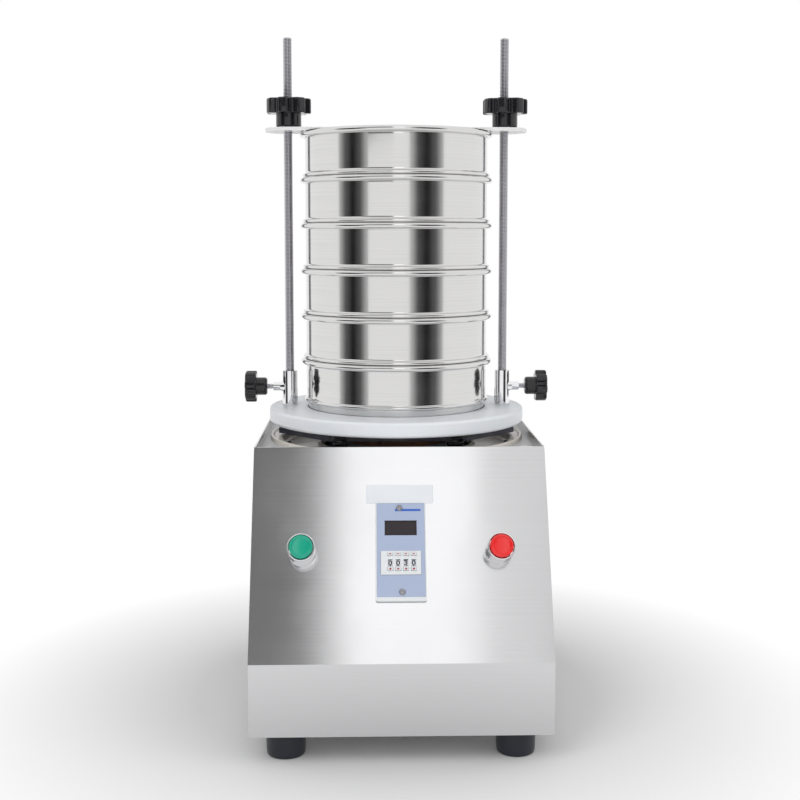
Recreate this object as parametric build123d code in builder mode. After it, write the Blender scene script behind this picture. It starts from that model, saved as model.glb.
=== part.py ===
from build123d import *
import os
from math import atan2, cos, radians, sin, tan

os.makedirs("parts", exist_ok=True)

# A bench sieve shaker for 200 mm sieves. Millimetres, +Z up, the floor at z = 0, the front at -Y.

# case
case_margin = 6.0
deck_margin = 6.0
slope_run = 93.0
foot_height = 29.0
fold_height = 101.0
case_top = 296.0
sheet = 1.5
deck_recess = 12.0
flange_drop = 14.0
base_thickness = 2.0
base_flange = 16.0
corner_round = 3.0

# feet and screws
foot_radius = 20.0
foot_inset_x = 34.0
foot_inset_front = 34.0
foot_inset_back = 34.0
foot_edge = 1.5
foot_bore_radius = 7.5
foot_bore_depth = 9.5
foot_bolt_radius = 3.0
foot_bolt_head_radius = 6.0
foot_bolt_head_height = 4.0
foot_nut_radius = 6.0
bolt_end = 2.0
screw_radius = 2.0
screw_head_radius = 3.8
screw_head_height = 2.4
screw_length = 8.0
screw_gap = 0.2
head_round_share = 0.45
side_screw_inset = 58.0
deck_screw_inset = 41.5
back_screw_inset = 29.6

# vents and cable gland in the back
vent_length = 60.0
vent_width = 5.0
vent_pitch = 12.0
vent_count = 6
vent_height = 190.0
vent_column_gap = 36.0
gland_inset = 58.0
gland_z = 66.0
gland_radius = 10.0
gland_bore_radius = 4.0
gland_reach = 14.0
gland_hex_radius = 12.0
gland_hex_length = 5.6
gland_step = 0.5
gland_round = 2.5
gland_nut_radius = 13.0
gland_nut_thickness = 5.0
gland_thread_end = 2.0

# spring pan
pan_margin = 22.0
pan_flange = 11.0
pan_slope = 3.0
pan_bend = 2.0
pan_floor_bend = 1.0
pan_lip_bend = 1.0
pan_hole_gap = 2.6
pan_wall = 2.5
pan_lip_height = 5.0
pan_lip_width = 3.2
pan_depth = 9.0
pan_collar = 4.0
pan_screw_head = 2.6
pan_screw_gap = 0.8
pan_screw_angle = 28.5

# springs
spring_radius = 6.8
spring_wire = 1.5
spring_turns = 5
spring_end_lip = 0.2
spring_end_thickness = 2.5
spring_edge_gap = 0.8
spring_angle = 58.2

# table
table_margin = 22.5
table_thickness = 16.0
table_lift = 7.5
table_edge = 3.0
recess_depth = 3.0
recess_gap = 0.6
motor_plate_thickness = 6.0
motor_plate_end = 12.0
motor_plate_edge = 0.8
motor_plate_half_depth = 76.0
motor_plate_tip = 14.0
motor_plate_flat = 74.0
plate_gap = 7.5
table_bolt_radius = 4.0
table_bolt_clear = 4.4
table_bolt_angle = 36.25
table_bolt_head = 6.5
table_bolt_head_height = 5.0
table_bolt_sink = 1.0
spacer_radius = 9.0
nut_height = 6.0

# clamping rods, sleeves and knobs
rod_clear = 13.0
rod_radius = 5.0
rod_height = 407.5
rod_chamfer = 1.2
rod_gap = 0.3
sleeve_radius = 8.5
sleeve_height = 39.5
sleeve_seat = 4.0
sleeve_stud_radius = 5.0
sleeve_stud_end = 1.0
sleeve_nut_radius = 8.8
sleeve_nut_height = 4.0
sleeve_slot_width = 3.6
sleeve_slot_length = 15.0
boss_height = 21.5
boss_radius = 4.75
boss_reach = 18.6
boss_root_start = 6.0
boss_root_reach = 11.0
boss_root_flare = 2.0
clamp_radius = 3.0
clamp_chamfer = 0.5
running_gap = 0.05
clamp_knob_start = 25.5
clamp_knob_hub_radius = 10.0
clamp_knob_hub_length = 12.1
clamp_knob_radius = 18.0
clamp_knob_thickness = 12.4
clamp_knob_depth = 18.0
clamp_knob_edge = 1.2
clamp_knob_seat = 1.0

# sieve stack
sieve_count = 5
sieve_pitch = 50.0
sieve_inner_radius = 100.0
sieve_wall = 1.2
rim_reach = 5.8
rim_roll = 3.2
bead_roll = 2.2
bead_reach = 3.0
nest_gap = 0.4
nest_depth = 8.0
seat_gap = 0.3
step_height = 3.0
mesh_thickness = 0.6
mesh_gap = 0.2
pan_rim_height = 54.5
pan_skirt_height = 11.0
pan_skirt_gap = 0.55
pan_bead_reach = 2.0
pan_bead_up = 1.0

# hold-down bar and star knobs
bar_end = 25.0
bar_width = 52.0
bar_thickness = 4.0
bar_edge = 1.0
bar_hole_gap = 0.5
star_hub_radius = 14.0
star_hub_height = 15.8
star_radius = 25.0
star_height = 16.5
star_edge = 1.5
star_lobes = 7
lobe_share = 0.27
web_share = 0.79
lobe_round_share = 0.07

# vibration motor
windings_radius = 62.0
windings_inner_radius = 46.0
windings_height = 9.0
windings_round = 3.0
windings_step = 4.0
motor_height = 62.0
motor_wall = 5.0
cover_thickness = 9.0
bearing_radius = 14.0
bearing_width = 7.0
bearing_set = 1.0
shaft_radius = 6.0
shaft_below = 26.0
core_gap = 4.0
core_end_gap = 6.0
weight_radius = 34.0
weight_thickness = 9.0
weight_end = 1.0
weight_spacing = 1.5
weight_hub_radius = 11.0

# push buttons
button_inset = 50.5
button_down = 107.8
button_hole_radius = 11.0
bezel_radius = 13.2
bezel_top_radius = 13.6
bezel_length = 28.0
bezel_wall = 1.6
cap_proud = 1.2
cap_gap = 0.3
cap_depth = 12.0
cap_ring_width = 1.8
cap_ring_height = 0.6
button_travel = 4.0
button_nut_thickness = 4.0
button_nut_radius = 15.0
button_tail = 30.0

# timer
timer_down = 108.0
timer_width = 50.0
timer_height = 98.0
timer_bezel = 5.5
timer_round = 2.0
timer_side_flange = 2.0
timer_end_flange = 3.0
timer_body_depth = 60.0
timer_wall = 1.5
timer_body_gap = 0.25
face_side_border = 1.3
face_top_border = 0.8
face_bottom_border = 4.2
face_thickness = 1.8
face_pocket = 2.0
face_gap = 0.15
window_width = 31.2
window_height = 14.2
window_up = 23.3
window_lip = 1.8
window_thickness = 1.2
window_sunk = 0.4
wheel_block_side = 4.4
wheel_block_height = 23.4
wheel_block_up = -11.5
wheel_block_proud = 0.8
wheel_block_back = 1.5
wheel_block_gap = 0.2
wheel_wall = 1.2
wheel_count = 4
wheel_pitch = 7.7
wheel_across = 0.95
wheel_radius = 7.5
wheel_width = 5.8
wheel_gap = 0.3
wheel_axle_radius = 1.5
wheel_faces = 10
digit_window_width = 4.6
digit_window_height = 7.0
pusher_width = 5.0
pusher_height = 3.0
pusher_length = 2.4
pusher_proud = 1.0
pusher_gap = 0.3
pusher_round = 0.5
pusher_up = {"minus": 8.6, "plus": -6.2}
timer_screw_head_radius = 3.15
timer_screw_head_height = 1.3
timer_screws = [(-1.2, 43.5), (1.0, -40.0)]

# contactor
contactor_width = 45.0
contactor_depth = 72.0
contactor_low_height = 48.0
contactor_top_depth = 43.0
contactor_top_height = 32.0
contactor_edge = 2.0
contactor_from_side = 39.0
contactor_from_back = 34.0

# sizes and places that follow from those above
wall_radius = sieve_inner_radius + sieve_wall
skirt_radius = sieve_inner_radius - nest_gap
rim_radius = wall_radius + rim_reach
bead_radius = wall_radius + bead_reach
pan_bead_radius = wall_radius + pan_bead_reach
rod_x = rim_radius + rod_clear
bar_half_length = rod_x + bar_end
table_radius = rod_x + table_margin
motor_plate_half_length = rod_x + motor_plate_end
pan_outer_radius = rod_x + pan_margin
pan_seat_radius = pan_outer_radius - pan_flange
pan_floor_radius = pan_seat_radius - pan_slope
pan_lip_inner = pan_outer_radius - pan_lip_width
case_width = 2 * (pan_outer_radius + case_margin)
top_depth = 2 * (pan_outer_radius + deck_margin)
base_depth = top_depth + slope_run
front_y = -(base_depth + gland_reach) / 2
back_y = front_y + base_depth
stack_y = back_y - top_depth / 2
slope_rise = case_top - fold_height
lean = atan2(slope_run, slope_rise)
inner_half = case_width / 2 - sheet
deck_top = case_top - deck_recess
pan_floor = deck_top - pan_depth
table_bottom = case_top + table_lift
table_top = table_bottom + table_thickness
motor_plate_top = table_bottom - plate_gap
motor_plate_bottom = motor_plate_top - motor_plate_thickness
recess_floor = table_top - recess_depth
pan_rim = recess_floor + pan_rim_height
sieve_rims = [pan_rim + sieve_pitch * (sieve_count - i) for i in range(sieve_count)]
stack_top = sieve_rims[0] + rim_roll
bar_bottom = stack_top + seat_gap
bar_top = bar_bottom + bar_thickness
star_bottom = bar_top + seat_gap
rod_top = table_top + rod_height
clamp_z = table_top + boss_height
windings_bottom = motor_plate_bottom - windings_height
motor_radius = windings_radius - windings_step
motor_bottom = windings_bottom - motor_height
button_x = case_width / 2 - button_inset
gland_x = case_width / 2 - gland_inset
spring_end_radius = spring_radius + spring_wire + spring_end_lip
timer_body_width = timer_width - 2 * timer_side_flange
timer_body_height = timer_height - 2 * timer_end_flange
face_width = timer_width - 2 * face_side_border
face_height = timer_height - face_top_border - face_bottom_border
face_up = (face_bottom_border - face_top_border) / 2
wheel_block_width = wheel_count * wheel_pitch + 2 * wheel_block_side
wheel_block_depth = wheel_wall + 2 * (wheel_radius + wheel_gap) + wheel_block_back
axis_plane = Plane((0, stack_y, 0), x_dir=(1, 0, 0), z_dir=(0, -1, 0))


def at_axis(height):
    """A level plane on the stack's axis."""
    return Plane.XY.offset(height).move(Location((0, stack_y, 0)))


def front_at(height, inset):
    """The y of the sloped face at a height, moved into the case by inset."""
    return front_y + (height - fold_height) * tan(lean) + inset / cos(lean)


def slope_plane(down, across=0.0, out=0.0):
    """A plane on the sloped face, so far down from its top edge, facing out of the case."""
    y = front_y + slope_run - down * sin(lean) - out * cos(lean)
    z = case_top - down * cos(lean) + out * sin(lean)
    return Plane((across, y, z), x_dir=(1, 0, 0), z_dir=(0, -cos(lean), sin(lean)))


def four_on_circle(radius, angle):
    """Four places on a circle, at the angle from the x axis and mirrored both ways."""
    x = radius * cos(radians(angle))
    y = radius * sin(radians(angle))
    return [(-x, -y), (-x, y), (x, -y), (x, y)]


# screw and bolt places shared by the panels, plates and fasteners
low_screw_z = foot_height + base_flange / 2
high_screw_z = deck_top - flange_drop / 2
deck_screw_reach = top_depth / 2 - deck_screw_inset
back_screw_x = case_width / 2 - back_screw_inset
low_screw_y = (front_y + side_screw_inset, (front_y + back_y) / 2, back_y - side_screw_inset)
side_screws_low = [(y, low_screw_z) for y in low_screw_y]
side_screws_high = [(stack_y + side * deck_screw_reach, high_screw_z) for side in (-1, 1)]
side_screws = side_screws_low + side_screws_high
back_screws_low = [(x, low_screw_z) for x in (-back_screw_x, back_screw_x)]
back_screws_high = [(x, high_screw_z) for x in (-back_screw_x, back_screw_x)]
pan_screw_circle = pan_lip_inner - pan_lip_bend - pan_screw_head - pan_screw_gap
pan_screws = four_on_circle(pan_screw_circle, pan_screw_angle)
spring_circle = pan_floor_radius - pan_floor_bend - spring_end_radius - spring_edge_gap
spring_places = four_on_circle(spring_circle, spring_angle)
table_nut_radius = 2 * table_bolt_radius
bolt_circle = windings_radius + table_nut_radius + table_bolt_clear
bolt_places = four_on_circle(bolt_circle, table_bolt_angle)
pan_hole_radius = bolt_circle + table_nut_radius + pan_hole_gap
foot_places = [
    (x, y)
    for x in (foot_inset_x - case_width / 2, case_width / 2 - foot_inset_x)
    for y in (front_y + foot_inset_front, back_y - foot_inset_back)
]

# base plate with its turned-up flanges
with BuildPart() as base_plate:
    floor_depth = base_depth - 2 * sheet
    floor_middle = (front_y + back_y) / 2
    with BuildSketch(Plane.XY.offset(foot_height)):
        with Locations((0, floor_middle)):
            Rectangle(2 * inner_half, floor_depth)
    extrude(amount=base_flange)
    with BuildSketch(Plane.XY.offset(foot_height + base_thickness)):
        with Locations((0, floor_middle - base_thickness)):
            Rectangle(2 * (inner_half - base_thickness), floor_depth)
    extrude(amount=base_flange, mode=Mode.SUBTRACT)
    with BuildSketch(Plane.XY.offset(foot_height)):
        with Locations(foot_places):
            Circle(foot_bolt_radius + screw_gap)
    extrude(amount=base_thickness, mode=Mode.SUBTRACT)
    with BuildSketch(Plane.YZ):
        with Locations(side_screws_low):
            Circle(screw_radius + screw_gap)
    extrude(amount=case_width, both=True, mode=Mode.SUBTRACT)
    with BuildSketch(Plane.XZ.offset(-back_y)):
        with Locations(back_screws_low):
            Circle(screw_radius + screw_gap)
    extrude(amount=3 * sheet, mode=Mode.SUBTRACT)
base_plate.part.label = "base_plate"
export_step(base_plate.part, "parts/base_plate.step")

# front panel: the lower band and the slope, bent from one sheet
with BuildPart() as front_panel:
    inner_fold = fold_height - sheet * tan(lean / 2)
    with BuildSketch(Plane.YZ):
        with BuildLine():
            Polyline(
                (front_y, foot_height),
                (front_y, fold_height),
                (front_y + slope_run, case_top),
                (front_at(case_top, sheet), case_top),
                (front_y + sheet, inner_fold),
                (front_y + sheet, foot_height),
                close=True,
            )
        make_face()
    extrude(amount=case_width / 2, both=True)
    with BuildSketch(slope_plane(0)):
        for side in (-1, 1):
            with Locations((side * (case_width - corner_round) / 2, sheet - corner_round / 2)):
                Rectangle(corner_round, corner_round + 2 * sheet)
            with Locations((side * (case_width / 2 - corner_round), -corner_round)):
                Circle(corner_round, mode=Mode.SUBTRACT)
    extrude(amount=2 * sheet, both=True, mode=Mode.SUBTRACT)
    with BuildSketch(slope_plane(button_down)):
        with Locations((-button_x, 0), (button_x, 0)):
            Circle(button_hole_radius + cap_gap)
    extrude(amount=2 * sheet, both=True, mode=Mode.SUBTRACT)
    with BuildSketch(slope_plane(timer_down)):
        Rectangle(timer_body_width + 2 * timer_body_gap, timer_body_height + 2 * timer_body_gap)
    extrude(amount=2 * sheet, both=True, mode=Mode.SUBTRACT)
front_panel.part.label = "front_panel"
export_step(front_panel.part, "parts/front_panel.step")

# left and right side panels
with BuildPart() as side_panels:
    for plane in (Plane.YZ.offset(inner_half), Plane.YZ.offset(-inner_half - sheet)):
        with BuildSketch(plane):
            with BuildLine():
                Polyline(
                    (front_y + sheet, foot_height),
                    (front_y + sheet, inner_fold),
                    (front_at(case_top, sheet), case_top),
                    (back_y - sheet, case_top),
                    (back_y - sheet, foot_height),
                    close=True,
                )
            make_face()
            with Locations(side_screws):
                Circle(screw_radius + screw_gap, mode=Mode.SUBTRACT)
        extrude(amount=sheet)
side_panels.part.label = "side_panels"
export_step(side_panels.part, "parts/side_panels.step")

# back panel with its vents and the gland hole
with BuildPart() as back_panel:
    with BuildSketch(Plane.XZ.offset(-back_y)):
        with Locations((0, (foot_height + case_top) / 2)):
            Rectangle(case_width, case_top - foot_height)
        with Locations((0, vent_height)):
            with GridLocations(vent_length + vent_column_gap, vent_pitch, 2, vent_count):
                SlotOverall(vent_length, vent_width, mode=Mode.SUBTRACT)
        with Locations((gland_x, gland_z)):
            Circle(gland_radius, mode=Mode.SUBTRACT)
        with Locations(back_screws_low + back_screws_high):
            Circle(screw_radius + screw_gap, mode=Mode.SUBTRACT)
    extrude(amount=sheet)
back_panel.part.label = "back_panel"
export_step(back_panel.part, "parts/back_panel.step")

# recessed top deck, with flanges turned down along all four panels
with BuildPart() as top_deck:
    flange_low = deck_top - flange_drop
    with BuildSketch(Plane.YZ):
        with BuildLine():
            Polyline(
                (front_at(flange_low, sheet), flange_low),
                (front_at(deck_top, sheet), deck_top),
                (back_y - sheet, deck_top),
                (back_y - sheet, flange_low),
                close=True,
            )
        make_face()
    extrude(amount=inner_half, both=True)
    with BuildSketch(Plane.YZ):
        with BuildLine():
            Polyline(
                (front_at(flange_low, 2 * sheet), flange_low),
                (front_at(deck_top - sheet, 2 * sheet), deck_top - sheet),
                (back_y - 2 * sheet, deck_top - sheet),
                (back_y - 2 * sheet, flange_low),
                close=True,
            )
        make_face()
    extrude(amount=inner_half - sheet, both=True, mode=Mode.SUBTRACT)
    with BuildSketch(at_axis(deck_top)):
        Circle(pan_seat_radius + rod_gap)
        with Locations(pan_screws):
            Circle(screw_radius + screw_gap)
    extrude(amount=-sheet, mode=Mode.SUBTRACT)
    with BuildSketch(Plane.YZ):
        with Locations(side_screws_high):
            Circle(screw_radius + screw_gap)
    extrude(amount=case_width, both=True, mode=Mode.SUBTRACT)
    with BuildSketch(Plane.XZ.offset(-back_y)):
        with Locations(back_screws_high):
            Circle(screw_radius + screw_gap)
    extrude(amount=3 * sheet, mode=Mode.SUBTRACT)
top_deck.part.label = "top_deck"
export_step(top_deck.part, "parts/top_deck.step")

# round spring pan: a dish hung by its flange in the deck
with BuildPart() as spring_pan:
    flange_top = deck_top + pan_wall
    with BuildSketch(axis_plane):
        with BuildLine():
            Polyline(
                (pan_hole_radius, pan_floor - pan_wall),
                (pan_floor_radius, pan_floor - pan_wall),
                (pan_seat_radius, deck_top),
                (pan_outer_radius, deck_top),
                (pan_outer_radius, deck_top + pan_lip_height),
                (pan_lip_inner, deck_top + pan_lip_height),
                (pan_lip_inner - pan_lip_bend, flange_top),
                (pan_seat_radius - pan_bend, flange_top),
                (pan_floor_radius - pan_floor_bend, pan_floor),
                (pan_hole_radius + pan_wall, pan_floor),
                (pan_hole_radius + pan_wall, pan_floor + pan_collar),
                (pan_hole_radius, pan_floor + pan_collar),
                close=True,
            )
        make_face()
    revolve(axis=Axis((0, stack_y, 0), (0, 0, 1)))
    with BuildSketch(at_axis(deck_top)):
        with Locations(pan_screws):
            Circle(screw_radius + screw_gap)
    extrude(amount=pan_lip_height, mode=Mode.SUBTRACT)
spring_pan.part.label = "spring_pan"
export_step(spring_pan.part, "parts/spring_pan.step")

# rubber feet with a sunk seat for the bolt's head
with BuildPart() as rubber_feet:
    with BuildSketch():
        with Locations(foot_places):
            Circle(foot_radius)
    extrude(amount=foot_height)
    fillet(rubber_feet.edges().group_by(Axis.Z)[0], foot_edge)
    with Locations([(x, y, 0) for x, y in foot_places]):
        Cylinder(
            foot_bore_radius, foot_bore_depth,
            align=(Align.CENTER, Align.CENTER, Align.MIN), mode=Mode.SUBTRACT,
        )
        Cylinder(
            foot_bolt_radius + screw_gap, foot_height,
            align=(Align.CENTER, Align.CENTER, Align.MIN), mode=Mode.SUBTRACT,
        )
rubber_feet.part.label = "rubber_feet"
export_step(rubber_feet.part, "parts/rubber_feet.step")


def screw_solid(plane, radius, head_radius, head_height, length):
    """A pan-head screw with its head on the plane and its shank behind it."""
    with BuildPart(mode=Mode.PRIVATE) as screw:
        with BuildSketch(plane):
            Circle(head_radius)
        extrude(amount=head_height)
        fillet(screw.edges().filter_by(GeomType.CIRCLE).sort_by_distance(
            plane.offset(head_height).origin)[0], head_height * head_round_share)
        with BuildSketch(plane):
            Circle(radius)
        extrude(amount=-length)
    return screw.part


def nut_solid(plane, bore, corner, height):
    """A hexagon nut standing on the plane, with flats across the plane's x."""
    with BuildPart(mode=Mode.PRIVATE) as nut:
        with BuildSketch(plane):
            RegularPolygon(corner, 6, rotation=30)
            Circle(bore, mode=Mode.SUBTRACT)
        extrude(amount=height)
    return nut.part


# screws, bolts and nuts of the case
with BuildPart() as case_fasteners:
    for y, z in side_screws:
        for side in (-1, 1):
            plane = Plane((side * case_width / 2, y, z), x_dir=(0, 1, 0), z_dir=(side, 0, 0))
            add(screw_solid(plane, screw_radius, screw_head_radius, screw_head_height, screw_length))
    for x, z in back_screws_low + back_screws_high:
        plane = Plane((x, back_y, z), x_dir=(1, 0, 0), z_dir=(0, 1, 0))
        add(screw_solid(plane, screw_radius, screw_head_radius, screw_head_height, screw_length))
    for x, y in pan_screws:
        plane = Plane((x, stack_y + y, flange_top))
        add(screw_solid(plane, screw_radius, pan_screw_head, screw_head_height, screw_length))
    for x, y in foot_places:
        head = Plane((x, y, foot_bore_depth), x_dir=(1, 0, 0), z_dir=(0, 0, -1))
        seat = Plane((x, y, foot_height + base_thickness))
        reach = seat.origin.Z - foot_bore_depth + nut_height + bolt_end
        head_size = (foot_bolt_head_radius, foot_bolt_head_height)
        add(screw_solid(head, foot_bolt_radius, *head_size, reach))
        add(nut_solid(seat, foot_bolt_radius + running_gap, foot_nut_radius, nut_height))
    for across, up in timer_screws:
        place = slope_plane(timer_down - up, across, timer_bezel - face_pocket + face_thickness)
        head_size = (timer_screw_head_radius, timer_screw_head_height)
        add(screw_solid(place, screw_radius, *head_size, screw_length))
case_fasteners.part.label = "case_fasteners"
export_step(case_fasteners.part, "parts/case_fasteners.step")

# coil springs with flat end cups, from the pan floor to the table plate
with BuildPart() as spring:
    coil_height = table_bottom - pan_floor - 2 * spring_end_thickness
    with BuildSketch():
        Circle(spring_end_radius)
    extrude(amount=spring_end_thickness + spring_wire / 2)
    with BuildSketch(Plane.XY.offset(table_bottom - pan_floor)):
        Circle(spring_end_radius)
    extrude(amount=-spring_end_thickness - spring_wire / 2)
    with BuildLine(Plane.XY.offset(spring_end_thickness)) as coil:
        Helix(coil_height / spring_turns, coil_height, spring_radius)
    with BuildSketch(Plane(origin=coil.line @ 0, z_dir=coil.line % 0)):
        Circle(spring_wire)
    sweep(path=coil.line, is_frenet=True)
with BuildPart() as suspension_springs:
    with Locations([(x, stack_y + y, pan_floor) for x, y in spring_places]):
        add(spring.part)
suspension_springs.part.label = "suspension_springs"
export_step(suspension_springs.part, "parts/suspension_springs.step")

# cable gland through the back panel, with its nut inside
with BuildPart() as cable_gland:
    gland_face = Plane((gland_x, back_y, gland_z), x_dir=(1, 0, 0), z_dir=(0, 1, 0))
    with BuildSketch(gland_face):
        RegularPolygon(gland_hex_radius, 6)
    extrude(amount=gland_hex_length)
    with BuildSketch(gland_face.offset(gland_hex_length)):
        Circle(gland_radius - gland_step)
    extrude(amount=gland_reach - gland_hex_length)
    fillet(cable_gland.edges().group_by(Axis.Y)[-1], gland_round)
    with BuildSketch(gland_face):
        Circle(gland_radius - screw_gap)
    extrude(amount=-sheet - gland_nut_thickness - gland_thread_end)
    with BuildSketch(gland_face.offset(gland_reach)):
        Circle(gland_bore_radius)
    extrude(amount=-2 * gland_reach - 2 * sheet - gland_nut_thickness, mode=Mode.SUBTRACT)
    with BuildSketch(gland_face.offset(-sheet)):
        RegularPolygon(gland_nut_radius, 6)
        Circle(gland_radius - screw_gap, mode=Mode.SUBTRACT)
    extrude(amount=-gland_nut_thickness)
cable_gland.part.label = "cable_gland"
export_step(cable_gland.part, "parts/cable_gland.step")

# contactor on the base plate
with BuildPart() as contactor:
    contactor_x = contactor_from_side + contactor_width / 2 - inner_half
    contactor_y = back_y - contactor_from_back - contactor_depth / 2
    contactor_foot = Plane((contactor_x, contactor_y, foot_height + base_thickness))
    with BuildSketch(contactor_foot):
        Rectangle(contactor_width, contactor_depth)
    extrude(amount=contactor_low_height)
    with BuildSketch(contactor_foot.offset(contactor_low_height)):
        Rectangle(contactor_width, contactor_top_depth)
    extrude(amount=contactor_top_height)
    chamfer(contactor.edges().group_by(Axis.Z)[-1], contactor_edge)
contactor.part.label = "contactor"
export_step(contactor.part, "parts/contactor.step")

# chrome button bezels: a tapered barrel on the panel and a threaded tail with a nut behind it
with BuildPart() as button_bezels:
    for x in (-button_x, button_x):
        panel = slope_plane(button_down, x)
        with BuildSketch(panel):
            Circle(bezel_radius)
        with BuildSketch(panel.offset(bezel_length)):
            Circle(bezel_top_radius)
        loft()
        with BuildSketch(panel):
            Circle(button_hole_radius)
        extrude(amount=-button_tail)
        with BuildSketch(panel.offset(bezel_length)):
            Circle(bezel_top_radius - bezel_wall)
        extrude(amount=-cap_depth - button_travel, mode=Mode.SUBTRACT)
        with BuildSketch(panel.offset(-sheet)):
            Circle(button_nut_radius)
        extrude(amount=-button_nut_thickness)
button_bezels.part.label = "button_bezels"
export_step(button_bezels.part, "parts/button_bezels.step")

# button caps with a raised ring round the face
for cap_name, x in (("start_button", -button_x), ("stop_button", button_x)):
    with BuildPart() as button_cap:
        cap_radius = bezel_top_radius - bezel_wall - cap_gap
        cap_top = slope_plane(button_down, x, bezel_length + cap_proud)
        with BuildSketch(cap_top):
            Circle(cap_radius)
        extrude(amount=-cap_depth)
        with BuildSketch(cap_top):
            Circle(cap_radius)
            Circle(cap_radius - cap_ring_width, mode=Mode.SUBTRACT)
        extrude(amount=cap_ring_height)
    button_cap.part.label = cap_name
    export_step(button_cap.part, f"parts/{cap_name}.step")



def timer_plane(out, across=0.0, up=0.0):
    """A plane of the timer, measured from its middle on the panel's face."""
    return slope_plane(timer_down - up, across, out)


# timer housing: bezel in front of the panel and an open box behind it
with BuildPart() as timer_housing:
    with BuildSketch(timer_plane(0)):
        RectangleRounded(timer_width, timer_height, timer_round)
    extrude(amount=timer_bezel)
    with BuildSketch(timer_plane(0)):
        Rectangle(timer_body_width, timer_body_height)
    extrude(amount=-timer_body_depth)
    with BuildSketch(timer_plane(timer_bezel, 0, face_up)):
        Rectangle(face_width + 2 * face_gap, face_height + 2 * face_gap)
    extrude(amount=-face_pocket, mode=Mode.SUBTRACT)
    with BuildSketch(timer_plane(timer_bezel)):
        Rectangle(timer_body_width - 2 * timer_wall, timer_body_height - 2 * timer_wall)
    extrude(amount=timer_wall - timer_bezel - timer_body_depth, mode=Mode.SUBTRACT)
    with BuildSketch(timer_plane(timer_bezel)):
        with Locations(timer_screws):
            Circle(screw_radius + screw_gap)
    extrude(amount=-screw_length - timer_bezel, mode=Mode.SUBTRACT)
timer_housing.part.label = "timer_housing"
export_step(timer_housing.part, "parts/timer_housing.step")

# timer face plate with openings for the window, the thumbwheels and the screws
face_back = timer_bezel - face_pocket
with BuildPart() as timer_face:
    with BuildSketch(timer_plane(face_back, 0, face_up)):
        Rectangle(face_width, face_height)
    extrude(amount=face_thickness)
    with BuildSketch(timer_plane(face_back, 0, window_up)):
        Rectangle(window_width, window_height)
    extrude(amount=face_thickness, mode=Mode.SUBTRACT)
    with BuildSketch(timer_plane(face_back, 0, wheel_block_up)):
        Rectangle(wheel_block_width + 2 * wheel_block_gap, wheel_block_height + 2 * wheel_block_gap)
    extrude(amount=face_thickness, mode=Mode.SUBTRACT)
    with BuildSketch(timer_plane(face_back)):
        with Locations(timer_screws):
            Circle(screw_radius + screw_gap)
    extrude(amount=face_thickness, mode=Mode.SUBTRACT)
timer_face.part.label = "timer_face"
export_step(timer_face.part, "parts/timer_face.step")

# dark display window, seated behind the face plate
with BuildPart() as timer_window:
    with BuildSketch(timer_plane(face_back, 0, window_up)):
        Rectangle(window_width + 2 * window_lip, window_height + 2 * window_lip)
    extrude(amount=-window_thickness)
    with BuildSketch(timer_plane(face_back, 0, window_up)):
        Rectangle(window_width - 2 * face_gap, window_height - 2 * face_gap)
    extrude(amount=face_thickness - window_sunk)
timer_window.part.label = "timer_window"
export_step(timer_window.part, "parts/timer_window.step")

wheel_middle = (wheel_count - 1) / 2
wheel_columns = [wheel_across + wheel_pitch * (i - wheel_middle) for i in range(wheel_count)]
block_front = face_back + face_thickness + wheel_block_proud
wheel_depth = block_front - wheel_wall - wheel_gap - wheel_radius

# white thumbwheel block with a slot and an axle for each digit wheel
with BuildPart() as thumbwheel_frame:
    with BuildSketch(timer_plane(block_front, 0, wheel_block_up)):
        Rectangle(wheel_block_width, wheel_block_height)
    extrude(amount=-wheel_block_depth)
    for across in wheel_columns:
        with BuildSketch(timer_plane(block_front - wheel_wall, across, wheel_block_up)):
            Rectangle(wheel_width + 2 * wheel_gap, 2 * (wheel_radius + wheel_gap))
        extrude(amount=-2 * (wheel_radius + wheel_gap), mode=Mode.SUBTRACT)
        with BuildSketch(timer_plane(block_front, across, wheel_block_up)):
            Rectangle(digit_window_width, digit_window_height)
        extrude(amount=-wheel_wall, mode=Mode.SUBTRACT)
        for up in pusher_up.values():
            with BuildSketch(timer_plane(block_front, across, wheel_block_up + up)):
                Rectangle(pusher_width + 2 * pusher_gap, pusher_height + 2 * pusher_gap)
            extrude(amount=-wheel_wall - pusher_length, mode=Mode.SUBTRACT)
    axle_middle = timer_plane(wheel_depth, wheel_across, wheel_block_up).origin
    with BuildSketch(Plane(axle_middle, x_dir=(0, 1, 0), z_dir=(1, 0, 0))):
        Circle(wheel_axle_radius)
    extrude(amount=wheel_count * wheel_pitch / 2, both=True)
thumbwheel_frame.part.label = "thumbwheel_frame"
export_step(thumbwheel_frame.part, "parts/thumbwheel_frame.step")

# digit wheels and their minus and plus pushers
for number, across in enumerate(wheel_columns, start=1):
    with BuildPart() as digit_wheel:
        middle = timer_plane(wheel_depth, across, wheel_block_up).origin
        wheel_side = Plane(middle, x_dir=(0, -cos(lean), sin(lean)), z_dir=(1, 0, 0))
        with BuildSketch(wheel_side):
            RegularPolygon(wheel_radius, wheel_faces, rotation=180 / wheel_faces)
            Circle(wheel_axle_radius + running_gap, mode=Mode.SUBTRACT)
        extrude(amount=wheel_width / 2, both=True)
    digit_wheel.part.label = f"digit_wheel_{number}"
    export_step(digit_wheel.part, f"parts/digit_wheel_{number}.step")
    for sign, up in pusher_up.items():
        with BuildPart() as pusher:
            with BuildSketch(timer_plane(block_front + pusher_proud, across, wheel_block_up + up)):
                RectangleRounded(pusher_width, pusher_height, pusher_round)
            extrude(amount=-pusher_length)
        pusher.part.label = f"{sign}_pusher_{number}"
        export_step(pusher.part, f"parts/{sign}_pusher_{number}.step")

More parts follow.
